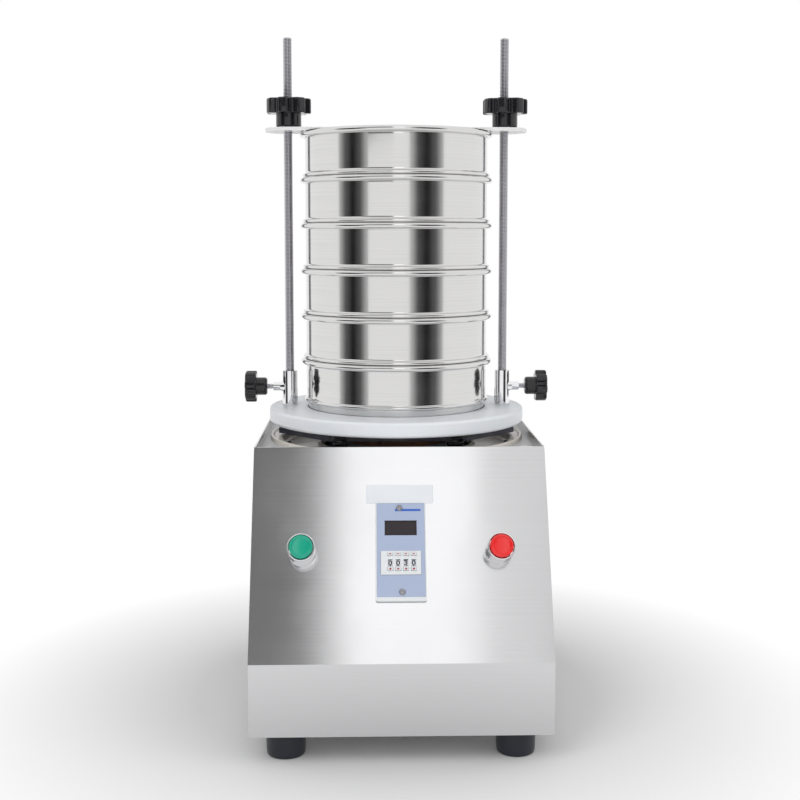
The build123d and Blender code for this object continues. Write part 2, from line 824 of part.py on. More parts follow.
# white table plate with the locating recess for the stack
with BuildPart() as table_plate:
    with BuildSketch(at_axis(table_bottom)):
        Circle(table_radius)
    extrude(amount=table_thickness)
    fillet(table_plate.edges(), table_edge)
    with BuildSketch(at_axis(table_top)):
        Circle(skirt_radius + recess_gap)
    extrude(amount=-recess_depth, mode=Mode.SUBTRACT)
    with BuildSketch(at_axis(recess_floor)):
        with Locations(bolt_places):
            Circle(table_bolt_head + rod_gap)
    extrude(amount=-table_bolt_head_height - table_bolt_sink, mode=Mode.SUBTRACT)
    with BuildSketch(at_axis(table_bottom)):
        with Locations(bolt_places):
            Circle(table_bolt_radius + rod_gap)
        with Locations((-rod_x, 0), (rod_x, 0)):
            Circle(sleeve_stud_radius + rod_gap)
    extrude(amount=table_thickness, mode=Mode.SUBTRACT)
table_plate.part.label = "table_plate"
export_step(table_plate.part, "parts/table_plate.step")

# dark motor plate with blunt tips under the rods
with BuildPart() as motor_plate:
    with BuildSketch(at_axis(motor_plate_bottom)):
        with BuildLine():
            Polyline(
                (motor_plate_half_length, -motor_plate_tip),
                (motor_plate_half_length, motor_plate_tip),
                (motor_plate_flat, motor_plate_half_depth),
                (-motor_plate_flat, motor_plate_half_depth),
                (-motor_plate_half_length, motor_plate_tip),
                (-motor_plate_half_length, -motor_plate_tip),
                (-motor_plate_flat, -motor_plate_half_depth),
                (motor_plate_flat, -motor_plate_half_depth),
                close=True,
            )
        make_face()
        with Locations(bolt_places):
            Circle(table_bolt_radius + rod_gap, mode=Mode.SUBTRACT)
        with Locations((-rod_x, 0), (rod_x, 0)):
            Circle(sleeve_stud_radius + rod_gap, mode=Mode.SUBTRACT)
        Circle(bearing_radius + rod_gap, mode=Mode.SUBTRACT)
    extrude(amount=motor_plate_thickness)
    top_edges = motor_plate.edges().group_by(Axis.Z)[-1].filter_by(GeomType.LINE)
    chamfer(top_edges, motor_plate_edge)
motor_plate.part.label = "motor_plate"
export_step(motor_plate.part, "parts/motor_plate.step")

# bolts, nuts and spacers between the two plates
with BuildPart() as table_bolts:
    for x, y in bolt_places:
        seat_height = recess_floor - table_bolt_head_height - table_bolt_sink
        head = Plane((x, stack_y + y, seat_height))
        reach = seat_height - motor_plate_bottom + nut_height + bolt_end
        add(screw_solid(head, table_bolt_radius, table_bolt_head, table_bolt_head_height, reach))
        under = Plane((x, stack_y + y, motor_plate_bottom), x_dir=(1, 0, 0), z_dir=(0, 0, -1))
        add(nut_solid(under, table_bolt_radius + running_gap, table_nut_radius, nut_height))
    for x in (-rod_x, rod_x):
        under = Plane((x, stack_y, motor_plate_bottom), x_dir=(1, 0, 0), z_dir=(0, 0, -1))
        bore = sleeve_stud_radius + running_gap
        add(nut_solid(under, bore, sleeve_nut_radius, sleeve_nut_height))
    spacer_places = [(x, y, table_bolt_radius) for x, y in bolt_places]
    spacer_places += [(x, 0, sleeve_stud_radius) for x in (-rod_x, rod_x)]
    for x, y, bore in spacer_places:
        with BuildSketch(at_axis(motor_plate_top)):
            with Locations((x, y)):
                Circle(spacer_radius)
                Circle(bore + rod_gap, mode=Mode.SUBTRACT)
        extrude(amount=plate_gap)
table_bolts.part.label = "table_bolts"
export_step(table_bolts.part, "parts/table_bolts.step")

# chrome rod sleeves: a split socket with a side boss and a stud down through both plates
with BuildPart() as rod_sleeves:
    for side in (-1, 1):
        foot = Plane((side * rod_x, stack_y, table_top))
        with BuildSketch(foot):
            Circle(sleeve_radius)
        extrude(amount=sleeve_height)
        with BuildSketch(foot):
            Circle(sleeve_stud_radius)
        extrude(amount=motor_plate_bottom - sleeve_nut_height - sleeve_stud_end - table_top)
        boss = Plane((side * rod_x, stack_y, clamp_z), x_dir=(0, 1, 0), z_dir=(side, 0, 0))
        with BuildSketch(boss.offset(boss_root_start)):
            Circle(boss_radius + boss_root_flare)
        with BuildSketch(boss.offset(boss_root_reach)):
            Circle(boss_radius)
        loft()
        with BuildSketch(boss):
            Circle(boss_radius)
        extrude(amount=boss_reach)
        with BuildSketch(foot.offset(sleeve_height)):
            Circle(rod_radius + rod_gap)
        extrude(amount=sleeve_seat - sleeve_height, mode=Mode.SUBTRACT)
        with BuildSketch(boss):
            Circle(clamp_radius + running_gap)
        extrude(amount=boss_reach, mode=Mode.SUBTRACT)
        slot_foot = foot.offset(sleeve_seat).move(Location((-side * sleeve_radius, 0, 0)))
        with BuildSketch(slot_foot):
            Rectangle(sleeve_radius, sleeve_slot_width)
        extrude(amount=sleeve_slot_length, mode=Mode.SUBTRACT)
rod_sleeves.part.label = "rod_sleeves"
export_step(rod_sleeves.part, "parts/rod_sleeves.step")

# clamping rods
for rod_name, x in (("left_rod", -rod_x), ("right_rod", rod_x)):
    with BuildPart() as rod:
        rod_bottom = table_top + sleeve_seat + seat_gap
        with BuildSketch(Plane((x, stack_y, rod_bottom))):
            Circle(rod_radius)
        extrude(amount=rod_top - rod_bottom)
        chamfer(rod.edges().group_by(Axis.Z)[-1], rod_chamfer)
    rod.part.label = rod_name
    export_step(rod.part, f"parts/{rod_name}.step")


def star_sketch(radius, lobes):
    """The outline of a lobed knob."""
    lobe = radius * lobe_share
    with BuildSketch(mode=Mode.PRIVATE) as outline:
        Circle(radius * web_share)
        with PolarLocations(radius - lobe, lobes):
            Circle(lobe)
        fillet(outline.vertices(), radius * lobe_round_share)
    return outline.sketch


# side clamp studs and their star knobs
for side_name, side in (("left", -1), ("right", 1)):
    out = Plane((side * rod_x, stack_y, clamp_z), x_dir=(0, 1, 0), z_dir=(side, 0, 0))
    with BuildPart() as clamp_stud:
        stud_start = rod_radius + rod_gap
        with BuildSketch(out.offset(stud_start)):
            Circle(clamp_radius)
        extrude(amount=clamp_knob_start + clamp_knob_depth - clamp_knob_seat - stud_start)
        chamfer(clamp_stud.edges(), clamp_chamfer)
    clamp_stud.part.label = f"{side_name}_clamp_stud"
    export_step(clamp_stud.part, f"parts/{side_name}_clamp_stud.step")
    with BuildPart() as clamp_knob:
        with BuildSketch(out.offset(clamp_knob_start)):
            Circle(clamp_knob_hub_radius)
        extrude(amount=clamp_knob_hub_length)
        with BuildSketch(out.offset(clamp_knob_start + clamp_knob_hub_length)):
            add(star_sketch(clamp_knob_radius, star_lobes))
        extrude(amount=clamp_knob_thickness)
        outer_face = clamp_knob.faces().sort_by(Axis.X)[0 if side < 0 else -1]
        chamfer(outer_face.outer_wire().edges(), clamp_knob_edge)
        with BuildSketch(out.offset(clamp_knob_start)):
            Circle(clamp_radius + running_gap)
        extrude(amount=clamp_knob_depth, mode=Mode.SUBTRACT)
    clamp_knob.part.label = f"{side_name}_clamp_knob"
    export_step(clamp_knob.part, f"parts/{side_name}_clamp_knob.step")

# receiving pan: a closed dish with a rolled rim and a locating skirt
with BuildPart() as receiving_pan:
    pan_skirt_radius = skirt_radius - pan_skirt_gap
    skirt_top = recess_floor + pan_skirt_height
    with BuildSketch(axis_plane):
        with BuildLine():
            Polyline(
                (0, recess_floor),
                (pan_skirt_radius, recess_floor),
                (pan_skirt_radius, skirt_top),
                (wall_radius, skirt_top),
                (wall_radius, pan_rim + rim_roll),
                (sieve_inner_radius, pan_rim + rim_roll),
                (sieve_inner_radius, skirt_top + sieve_wall),
                (pan_skirt_radius - sieve_wall, skirt_top + sieve_wall),
                (pan_skirt_radius - sieve_wall, recess_floor + sieve_wall),
                (0, recess_floor + sieve_wall),
                close=True,
            )
        make_face()
        with Locations((rim_radius - rim_roll, pan_rim)):
            Circle(rim_roll)
        with Locations(((rim_radius - rim_roll + wall_radius) / 2, pan_rim + rim_roll / 2)):
            Rectangle(rim_radius - rim_roll - wall_radius, rim_roll)
        with Locations((pan_bead_radius - bead_roll, skirt_top + pan_bead_up)):
            Circle(bead_roll)
    revolve(axis=Axis((0, stack_y, 0), (0, 0, 1)))
receiving_pan.part.label = "receiving_pan"
export_step(receiving_pan.part, "parts/receiving_pan.step")

# sieves: a frame with a rolled rim, a seating bead and a nesting skirt, and the mesh on its step
for number, rim in enumerate(sieve_rims, start=1):
    next_top = rim - sieve_pitch + rim_roll
    bead_bottom = next_top + seat_gap
    step_top = bead_bottom + step_height
    skirt_bottom = next_top - nest_depth
    skirt_inner = skirt_radius - sieve_wall
    with BuildPart() as sieve_frame:
        with BuildSketch(axis_plane):
            with BuildLine():
                Polyline(
                    (skirt_inner, skirt_bottom),
                    (skirt_radius, skirt_bottom),
                    (skirt_radius, bead_bottom),
                    (wall_radius, bead_bottom),
                    (wall_radius, rim + rim_roll),
                    (sieve_inner_radius, rim + rim_roll),
                    (sieve_inner_radius, step_top),
                    (skirt_inner, step_top),
                    close=True,
                )
            make_face()
            with Locations((rim_radius - rim_roll, rim)):
                Circle(rim_roll)
            with Locations(((rim_radius - rim_roll + wall_radius) / 2, rim + rim_roll / 2)):
                Rectangle(rim_radius - rim_roll - wall_radius, rim_roll)
            with Locations((bead_radius - bead_roll, bead_bottom + bead_roll)):
                Circle(bead_roll)
            with Locations(((bead_radius - bead_roll + wall_radius) / 2, bead_bottom + bead_roll / 2)):
                Rectangle(bead_radius - bead_roll - wall_radius, bead_roll)
        revolve(axis=Axis((0, stack_y, 0), (0, 0, 1)))
    sieve_frame.part.label = f"sieve_{number}_frame"
    export_step(sieve_frame.part, f"parts/sieve_{number}_frame.step")
    with BuildPart() as sieve_mesh:
        with BuildSketch(at_axis(step_top)):
            Circle(sieve_inner_radius - mesh_gap)
        extrude(amount=mesh_thickness)
    sieve_mesh.part.label = f"sieve_{number}_mesh"
    export_step(sieve_mesh.part, f"parts/sieve_{number}_mesh.step")

# white hold-down bar across the top of the stack
with BuildPart() as hold_down_bar:
    with BuildSketch(at_axis(bar_bottom)):
        SlotOverall(2 * bar_half_length, bar_width)
        with Locations((-rod_x, 0), (rod_x, 0)):
            Circle(rod_radius + bar_hole_gap, mode=Mode.SUBTRACT)
    extrude(amount=bar_thickness)
    fillet(hold_down_bar.faces().sort_by(Axis.Z)[-1].outer_wire().edges(), bar_edge)
hold_down_bar.part.label = "hold_down_bar"
export_step(hold_down_bar.part, "parts/hold_down_bar.step")

# top star knobs on the rods
for knob_name, x in (("left_star_knob", -rod_x), ("right_star_knob", rod_x)):
    with BuildPart() as star_knob:
        with BuildSketch(Plane((x, stack_y, star_bottom))):
            Circle(star_hub_radius)
        extrude(amount=star_hub_height)
        with BuildSketch(Plane((x, stack_y, star_bottom + star_hub_height))):
            add(star_sketch(star_radius, star_lobes))
        extrude(amount=star_height)
        chamfer(star_knob.faces().sort_by(Axis.Z)[-1].outer_wire().edges(), star_edge)
        with BuildSketch(Plane((x, stack_y, star_bottom))):
            Circle(rod_radius + rod_gap)
        extrude(amount=star_hub_height + star_height, mode=Mode.SUBTRACT)
    star_knob.part.label = knob_name
    export_step(star_knob.part, f"parts/{knob_name}.step")

# motor windings, which show under the plates
with BuildPart() as motor_windings:
    with BuildSketch(at_axis(windings_bottom)):
        Circle(windings_radius)
        Circle(windings_inner_radius, mode=Mode.SUBTRACT)
    extrude(amount=windings_height)
    fillet(motor_windings.edges().group_by(Axis.Z)[-1], windings_round)
motor_windings.part.label = "motor_windings"
export_step(motor_windings.part, "parts/motor_windings.step")

# motor body: the stator shell
with BuildPart() as motor_body:
    with BuildSketch(at_axis(motor_bottom)):
        Circle(motor_radius)
        Circle(motor_radius - motor_wall, mode=Mode.SUBTRACT)
    extrude(amount=motor_height)
motor_body.part.label = "motor_body"
export_step(motor_body.part, "parts/motor_body.step")

# motor covers: a disc under the motor plate and one at the bottom, each with a bearing seat
with BuildPart() as motor_end_covers:
    with BuildSketch(at_axis(windings_bottom)):
        Circle(windings_inner_radius - rod_gap)
        Circle(bearing_radius + running_gap, mode=Mode.SUBTRACT)
    extrude(amount=windings_height)
    with BuildSketch(at_axis(motor_bottom)):
        Circle(motor_radius)
        Circle(bearing_radius + running_gap, mode=Mode.SUBTRACT)
    extrude(amount=-cover_thickness)
motor_end_covers.part.label = "motor_end_covers"
export_step(motor_end_covers.part, "parts/motor_end_covers.step")

# two bearings on the shaft
with BuildPart() as motor_bearings:
    for height in (windings_bottom + bearing_set, motor_bottom - cover_thickness + bearing_set):
        with BuildSketch(at_axis(height)):
            Circle(bearing_radius)
            Circle(shaft_radius + running_gap, mode=Mode.SUBTRACT)
        extrude(amount=bearing_width)
motor_bearings.part.label = "motor_bearings"
export_step(motor_bearings.part, "parts/motor_bearings.step")

# motor shaft with its rotor core
with BuildPart() as motor_shaft:
    shaft_low = motor_bottom - cover_thickness - shaft_below
    with BuildSketch(at_axis(shaft_low)):
        Circle(shaft_radius)
    extrude(amount=windings_bottom + bearing_set + bearing_width - shaft_low)
    with BuildSketch(at_axis(motor_bottom + core_end_gap)):
        Circle(motor_radius - motor_wall - core_gap)
    extrude(amount=motor_height - 2 * core_end_gap)
motor_shaft.part.label = "motor_shaft"
export_step(motor_shaft.part, "parts/motor_shaft.step")

# two eccentric half-disc weights on the shaft's lower end
with BuildPart() as eccentric_weights:
    lower_weight = shaft_low + weight_end
    for height in (lower_weight, lower_weight + weight_thickness + weight_spacing):
        with BuildSketch(at_axis(height)):
            with BuildLine():
                CenterArc((0, 0), weight_radius, 0, 180)
                Line((-weight_radius, 0), (weight_radius, 0))
            make_face()
            Circle(weight_hub_radius)
            Circle(shaft_radius + running_gap, mode=Mode.SUBTRACT)
        extrude(amount=weight_thickness)
eccentric_weights.part.label = "eccentric_weights"
export_step(eccentric_weights.part, "parts/eccentric_weights.step")
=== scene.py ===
import math

import bpy
from mathutils import Matrix, Vector


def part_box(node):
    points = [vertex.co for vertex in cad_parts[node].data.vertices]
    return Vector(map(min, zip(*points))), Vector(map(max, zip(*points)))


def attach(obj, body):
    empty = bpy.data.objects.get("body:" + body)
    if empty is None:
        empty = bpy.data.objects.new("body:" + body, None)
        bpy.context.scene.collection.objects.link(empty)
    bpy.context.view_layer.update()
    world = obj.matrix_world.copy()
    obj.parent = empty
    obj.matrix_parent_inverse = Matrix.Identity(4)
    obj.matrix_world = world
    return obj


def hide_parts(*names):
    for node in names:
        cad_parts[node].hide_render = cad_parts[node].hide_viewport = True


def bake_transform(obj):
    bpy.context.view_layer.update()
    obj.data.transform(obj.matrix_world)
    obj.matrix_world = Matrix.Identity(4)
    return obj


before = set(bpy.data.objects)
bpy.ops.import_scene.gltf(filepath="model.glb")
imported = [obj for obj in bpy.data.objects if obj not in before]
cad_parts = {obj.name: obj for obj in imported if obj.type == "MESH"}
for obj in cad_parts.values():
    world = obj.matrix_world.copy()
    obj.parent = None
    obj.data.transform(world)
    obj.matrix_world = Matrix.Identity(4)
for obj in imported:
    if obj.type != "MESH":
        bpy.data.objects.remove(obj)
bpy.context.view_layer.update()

# Metres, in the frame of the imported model: +Z up, the control panel faces -Y.
MM = 0.001

# sizes shared by the pieces made here
SLOPE_BACK = 93 * MM
SLOPE_RISE = 195 * MM
ROD_PITCH = 1.5 * MM
STUD_PITCH = 1.0 * MM
THREAD_DEPTH = 0.55
CREST = 0.3
SIEVES = 5
ROUND = 160

LEAN = math.atan2(SLOPE_BACK, SLOPE_RISE)
ACROSS = Vector((1, 0, 0))
OUT = Vector((0, -math.cos(LEAN), math.sin(LEAN)))
UP_SLOPE = Vector((0, math.sin(LEAN), math.cos(LEAN)))


def low(node):
    return Vector(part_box(node)[0])


def high(node):
    return Vector(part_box(node)[1])


def middle(node):
    return (low(node) + high(node)) / 2


AXIS = middle("table_plate")
CASE_TOP = high("front_panel").z
FRONT = low("front_panel").y


def on_slope(down, across=0.0, out=0.0):
    """A point of the sloped panel, so far down from its top edge."""
    top = Vector((0, FRONT + SLOPE_BACK, CASE_TOP))
    return top + ACROSS * across - UP_SLOPE * down + OUT * out


def slope_frame(point):
    """A matrix with its x across, its y up the slope and its z out of the panel."""
    turn = Matrix((ACROSS, UP_SLOPE, OUT)).transposed()
    return Matrix.Translation(point) @ turn.to_4x4()


def upright(x, y, z=0.0):
    return Matrix.Translation((x, y, z))


def facing(point, axis):
    """A matrix whose z looks along the axis."""
    return Matrix.Translation(point) @ Vector(axis).to_track_quat("Z", "Y").to_matrix().to_4x4()


# mesh helpers

def make(name, points, faces, place, finish, body, hides=(), sharp=35):
    """A mesh piece, shaded smooth up to a sharp angle, that rides on a body."""
    mesh = bpy.data.meshes.new(name)
    mesh.from_pydata(points, [], faces)
    mesh.validate()
    mesh.shade_smooth()
    mesh.set_sharp_from_angle(angle=math.radians(sharp))
    piece = bpy.data.objects.new(name, mesh)
    bpy.context.scene.collection.objects.link(piece)
    piece.matrix_world = place
    mesh.materials.append(finish)
    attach(piece, body)
    if hides:
        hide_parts(*hides)
    return piece


def soften(corners, steps=5):
    """A profile with its corners rounded: corners are (radius, height) or (radius, height, round)."""
    out = []
    count = len(corners)
    for i, corner in enumerate(corners):
        size = corner[2] if len(corner) > 2 else 0
        if not size or i in (0, count - 1):
            out.append((corner[0], corner[1]))
            continue
        here = Vector(corner[:2])
        before = Vector(corners[i - 1][:2]) - here
        after = Vector(corners[i + 1][:2]) - here
        start = here + before.normalized() * min(size, before.length * 0.49)
        end = here + after.normalized() * min(size, after.length * 0.49)
        for k in range(steps + 1):
            t = k / steps
            point = start * (1 - t) ** 2 + here * 2 * t * (1 - t) + end * t * t
            out.append((point.x, point.y))
    return out


def turned(profile, segments=ROUND, shape=None):
    """Points and faces of a profile turned about z. shape(angle, radius, height) may change the radius."""
    points = []
    faces = []
    rings = []
    for radius, height in profile:
        if radius < 1e-7:
            rings.append([len(points)])
            points.append((0, 0, height))
            continue
        rings.append(range(len(points), len(points) + segments))
        for k in range(segments):
            angle = 2 * math.pi * k / segments
            r = shape(angle, radius, height) if shape else radius
            points.append((r * math.cos(angle), r * math.sin(angle), height))
    for one, two in zip(rings, rings[1:]):
        for k in range(segments):
            n = (k + 1) % segments
            if len(one) == 1 and len(two) > 1:
                faces.append((one[0], two[n], two[k]))
            elif len(two) == 1 and len(one) > 1:
                faces.append((one[k], one[n], two[0]))
            elif len(one) > 1:
                faces.append((one[k], one[n], two[n], two[k]))
    return points, faces


def arc(cx, cy, radius, start, end, steps):
    """Points of an arc in a profile, angles in degrees."""
    out = []
    for k in range(steps + 1):
        a = math.radians(start + (end - start) * k / steps)
        out.append((cx + radius * math.cos(a), cy + radius * math.sin(a)))
    return out


def slab(width, height, depth, round_by, bevel, steps=6):
    """Points and faces of a plate with round corners and softened front edges, back at z = 0."""
    outline = []
    for sx, sy, start in ((1, 1, 0), (-1, 1, 90), (-1, -1, 180), (1, -1, 270)):
        cx = sx * (width / 2 - round_by)
        cy = sy * (height / 2 - round_by)
        for k in range(steps + 1):
            a = math.radians(start + 90 * k / steps)
            outline.append((cx, cy, round_by, a))
    rings = [(0, 0)]
    for k in range(4):
        a = math.radians(90 * k / 3)
        rings.append((bevel * (1 - math.cos(a)), depth - bevel + bevel * math.sin(a)))
    points = []
    for inset, z in rings:
        for cx, cy, r, a in outline:
            points.append((cx + (r - inset) * math.cos(a), cy + (r - inset) * math.sin(a), z))
    count = len(outline)
    faces = [tuple(reversed(range(count)))]
    for i in range(len(rings) - 1):
        for k in range(count):
            n = (k + 1) % count
            faces.append((i * count + k, i * count + n, (i + 1) * count + n, (i + 1) * count + k))
    faces.append(tuple(range((len(rings) - 1) * count, len(rings) * count)))
    return points, faces


def join_shapes(shapes):
    """One set of points and faces from several (points, faces, matrix)."""
    points = []
    faces = []
    for more_points, more_faces, place in shapes:
        base = len(points)
        points.extend(tuple(place @ Vector(p)) for p in more_points)
        faces.extend(tuple(base + i for i in face) for face in more_faces)
    return points, faces


# materials

def new_material(name):
    material = bpy.data.materials.new(name)
    material.use_nodes = True
    nodes = material.node_tree.nodes
    return material, nodes, material.node_tree.links, nodes["Principled BSDF"]


def noise(nodes, links, scale, stretch=(1, 1, 1), detail=4.0, rough=0.55):
    """Noise in the object's own coordinates, stretched along an axis."""
    coordinates = nodes.new("ShaderNodeTexCoord")
    mapping = nodes.new("ShaderNodeMapping")
    mapping.inputs["Scale"].default_value = stretch
    texture = nodes.new("ShaderNodeTexNoise")
    texture.inputs["Scale"].default_value = scale
    texture.inputs["Detail"].default_value = detail
    texture.inputs["Roughness"].default_value = rough
    links.new(coordinates.outputs["Object"], mapping.inputs["Vector"])
    links.new(mapping.outputs["Vector"], texture.inputs["Vector"])
    return texture.outputs["Fac"]


def spread(nodes, links, value, start, end, low_in=0.3, high_in=0.7):
    """The value mapped from a middle stretch to start..end."""
    ramp = nodes.new("ShaderNodeMapRange")
    ramp.inputs["From Min"].default_value = low_in
    ramp.inputs["From Max"].default_value = high_in
    ramp.inputs["To Min"].default_value = start
    ramp.inputs["To Max"].default_value = end
    links.new(value, ramp.inputs["Value"])
    return ramp.outputs["Result"]


def two_tone(nodes, links, value, dark, light):
    """A colour between dark and light by a value from 0 to 1."""
    mix = nodes.new("ShaderNodeMix")
    mix.data_type = "RGBA"
    mix.inputs["A"].default_value = (*dark, 1)
    mix.inputs["B"].default_value = (*light, 1)
    links.new(value, mix.inputs["Factor"])
    return mix.outputs["Result"]


def add_bumps(nodes, links, shader, layers):
    """Bump layers, each (value, strength, distance), one on the other."""
    last = None
    for value, strength, distance in layers:
        bump = nodes.new("ShaderNodeBump")
        bump.inputs["Strength"].default_value = strength
        bump.inputs["Distance"].default_value = distance
        links.new(value, bump.inputs["Height"])
        if last:
            links.new(last, bump.inputs["Normal"])
        last = bump.outputs["Normal"]
    links.new(last, shader.inputs["Normal"])


def shade(colour, by):
    return tuple(min(1.0, c * by) for c in colour)


def steel(name, colour, rough=(0.16, 0.26), lines=(6, 6, 1400), bump=0.05, tone=0.93):
    """Brushed or polished steel: fine lines in its bump, roughness and tone, with faint smudges."""
    material, nodes, links, shader = new_material(name)
    shader.inputs["Metallic"].default_value = 1.0
    grain = noise(nodes, links, 1.0, lines, 3.0)
    smudge = noise(nodes, links, 14.0, (1, 1, 1), 3.0)
    links.new(
        two_tone(nodes, links, spread(nodes, links, grain, 0, 1), shade(colour, tone), colour),
        shader.inputs["Base Color"],
    )
    add = nodes.new("ShaderNodeMath")
    add.operation = "ADD"
    links.new(spread(nodes, links, grain, rough[0], rough[1]), add.inputs[0])
    links.new(spread(nodes, links, smudge, -0.02, 0.03), add.inputs[1])
    links.new(add.outputs[0], shader.inputs["Roughness"])
    add_bumps(nodes, links, shader, [(grain, bump, 0.0004)])
    return material


def coated(name, colour, rough=(0.3, 0.45), grain=900.0, bump=0.08, coat=0.0, wear=None,
           tone=0.9, sheen=0.0, scatter=0.0, specular=0.5):
    """Paint, plastic or rubber: fine grain in the bump, uneven gloss and tone, wear on edges."""
    material, nodes, links, shader = new_material(name)
    shader.inputs["Coat Weight"].default_value = coat
    shader.inputs["Coat Roughness"].default_value = 0.08
    shader.inputs["Sheen Weight"].default_value = sheen
    shader.inputs["Specular IOR Level"].default_value = specular
    if scatter:
        shader.inputs["Subsurface Weight"].default_value = scatter
        shader.inputs["Subsurface Radius"].default_value = (0.6, 0.8, 1.0)
        shader.inputs["Subsurface Scale"].default_value = 0.006
    fine = noise(nodes, links, grain, (1, 1, 1), 3.0)
    broad = noise(nodes, links, 22.0, (1, 1, 1), 4.0)
    body = two_tone(nodes, links, spread(nodes, links, broad, 0, 1), shade(colour, tone), colour)
    if wear:
        geometry = nodes.new("ShaderNodeNewGeometry")
        edge = spread(nodes, links, geometry.outputs["Pointiness"], 0, 1, 0.52, 0.60)
        scuffed = nodes.new("ShaderNodeMath")
        scuffed.operation = "MULTIPLY"
        links.new(edge, scuffed.inputs[0])
        links.new(spread(nodes, links, broad, 0.0, 0.8), scuffed.inputs[1])
        mix = nodes.new("ShaderNodeMix")
        mix.data_type = "RGBA"
        mix.inputs["B"].default_value = (*wear, 1)
        links.new(body, mix.inputs["A"])
        links.new(scuffed.outputs[0], mix.inputs["Factor"])
        body = mix.outputs["Result"]
    links.new(body, shader.inputs["Base Color"])
    links.new(spread(nodes, links, broad, rough[0], rough[1]), shader.inputs["Roughness"])
    add_bumps(nodes, links, shader, [(fine, bump, 0.0003), (broad, bump * 0.4, 0.001)])
    return material


case_steel = steel("case_steel", (0.64, 0.64, 0.65), (0.11, 0.13), (3, 3, 1100), 0.003, 0.975)
inner_steel = steel("inner_steel", (0.62, 0.62, 0.63), (0.45, 0.55), (5, 1200, 5), 0.05)
deck_grey = coated("deck_grey", (0.66, 0.66, 0.66), (0.3, 0.4), 700, 0.05, tone=0.95)
dull_steel = steel("dull_steel", (0.34, 0.34, 0.36), (0.2, 0.3), (90, 90, 90), 0.06)
sieve_steel = steel("sieve_steel", (0.72, 0.715, 0.71), (0.08, 0.13), (5, 5, 1700), 0.02)
chrome = steel("chrome", (0.88, 0.88, 0.90), (0.04, 0.09), (60, 60, 60), 0.01)
bright_zinc = steel("bright_zinc", (0.72, 0.72, 0.74), (0.14, 0.24), (200, 200, 200), 0.06)
rod_steel = steel("rod_steel", (0.50, 0.49, 0.52), (0.05, 0.11), (120, 120, 120), 0.04)
bearing_steel = steel("bearing_steel", (0.6, 0.6, 0.6), (0.2, 0.3), (90, 90, 700), 0.04)
black_screw = coated("black_screw", (0.025, 0.025, 0.03), (0.3, 0.45), 800, 0.08)
plate_white = coated("plate_white", (0.90, 0.93, 0.98), (0.34, 0.46), 500, 0.05, tone=0.97, scatter=0.25)
bar_white = coated("bar_white", (0.92, 0.92, 0.92), (0.25, 0.35), 600, 0.04, tone=0.97)
plate_dark = coated("plate_dark", (0.035, 0.04, 0.075), (0.3, 0.42), 700, 0.1, 0.2, (0.2, 0.2, 0.22))
pan_cream = coated("pan_cream", (0.86, 0.81, 0.74), (0.25, 0.4), 300, 0.06, 0.3, tone=0.95)
knob_black = coated("knob_black", (0.012, 0.012, 0.015), (0.03, 0.08), 500, 0.03, 0.0,
                    (0.03, 0.03, 0.035))
rubber_black = coated("rubber_black", (0.022, 0.025, 0.035), (0.4, 0.55), 1200, 0.14, 0.0,
                      (0.04, 0.04, 0.05), sheen=0.15, specular=0.35)
spring_black = coated("spring_black", (0.012, 0.012, 0.014), (0.25, 0.4), 900, 0.08)
button_green = coated("button_green", (0.0, 0.42, 0.27), (0.2, 0.3), 400, 0.03, 0.4, tone=0.96)
button_red = coated("button_red", (0.93, 0.012, 0.012), (0.2, 0.3), 400, 0.03, 0.4, tone=0.96)
timer_white = coated("timer_white", (0.88, 0.91, 0.93), (0.4, 0.5), 1500, 0.05, tone=0.97)
timer_blue = coated("timer_blue", (0.47, 0.55, 0.74), (0.42, 0.52), 1800, 0.06, tone=0.97)
timer_dark = coated("timer_dark", (0.03, 0.022, 0.026), (0.08, 0.14), 300, 0.01, tone=0.95, specular=0.22)
print_red = coated("print_red", (0.45, 0.0, 0.03), (0.5, 0.6), 900, 0.02, tone=0.95)
print_dark = coated("print_dark", (0.03, 0.03, 0.06), (0.5, 0.6), 900, 0.02, tone=0.95)
print_blue = coated("print_blue", (0.06, 0.16, 0.62), (0.5, 0.6), 900, 0.02, tone=0.95)
sign_white = coated("sign_white", (0.9, 0.93, 0.97), (0.3, 0.4), 1500, 0.03, tone=0.98)
winding = coated("winding", (0.36, 0.19, 0.12), (0.25, 0.45), 260, 0.3, 0.4, tone=0.4)
motor_grey = coated("motor_grey", (0.3, 0.32, 0.34), (0.4, 0.55), 500, 0.2)
weight_iron = coated("weight_iron", (0.12, 0.12, 0.13), (0.5, 0.65), 300, 0.3)
black_plastic = coated("black_plastic", (0.03, 0.03, 0.033), (0.4, 0.55), 1100, 0.12)


def woven_cloth(name, colour):
    """Fine woven wire: crossing ridges in the bump, and painted shade in the gaps between them."""
    material, nodes, links, shader = new_material(name)
    shader.inputs["Metallic"].default_value = 1.0
    coordinates = nodes.new("ShaderNodeTexCoord")
    waves = []
    for direction in ("X", "Y"):
        wave = nodes.new("ShaderNodeTexWave")
        wave.bands_direction = direction
        wave.inputs["Scale"].default_value = 260.0
        links.new(coordinates.outputs["Object"], wave.inputs["Vector"])
        waves.append(wave.outputs["Fac"])
    both = nodes.new("ShaderNodeMath")
    both.operation = "MAXIMUM"
    links.new(waves[0], both.inputs[0])
    links.new(waves[1], both.inputs[1])
    # the gaps between the wires are painted dark as shade, standing for the dark seen through the cloth
    links.new(
        two_tone(nodes, links, both.outputs[0], shade(colour, 0.12), colour),
        shader.inputs["Base Color"],
    )
    broad = noise(nodes, links, 12.0)
    links.new(spread(nodes, links, broad, 0.28, 0.42), shader.inputs["Roughness"])
    add_bumps(nodes, links, shader, [(both.outputs[0], 0.6, 0.0004)])
    return material


fine_cloth = woven_cloth("fine_cloth", (0.5, 0.5, 0.49))

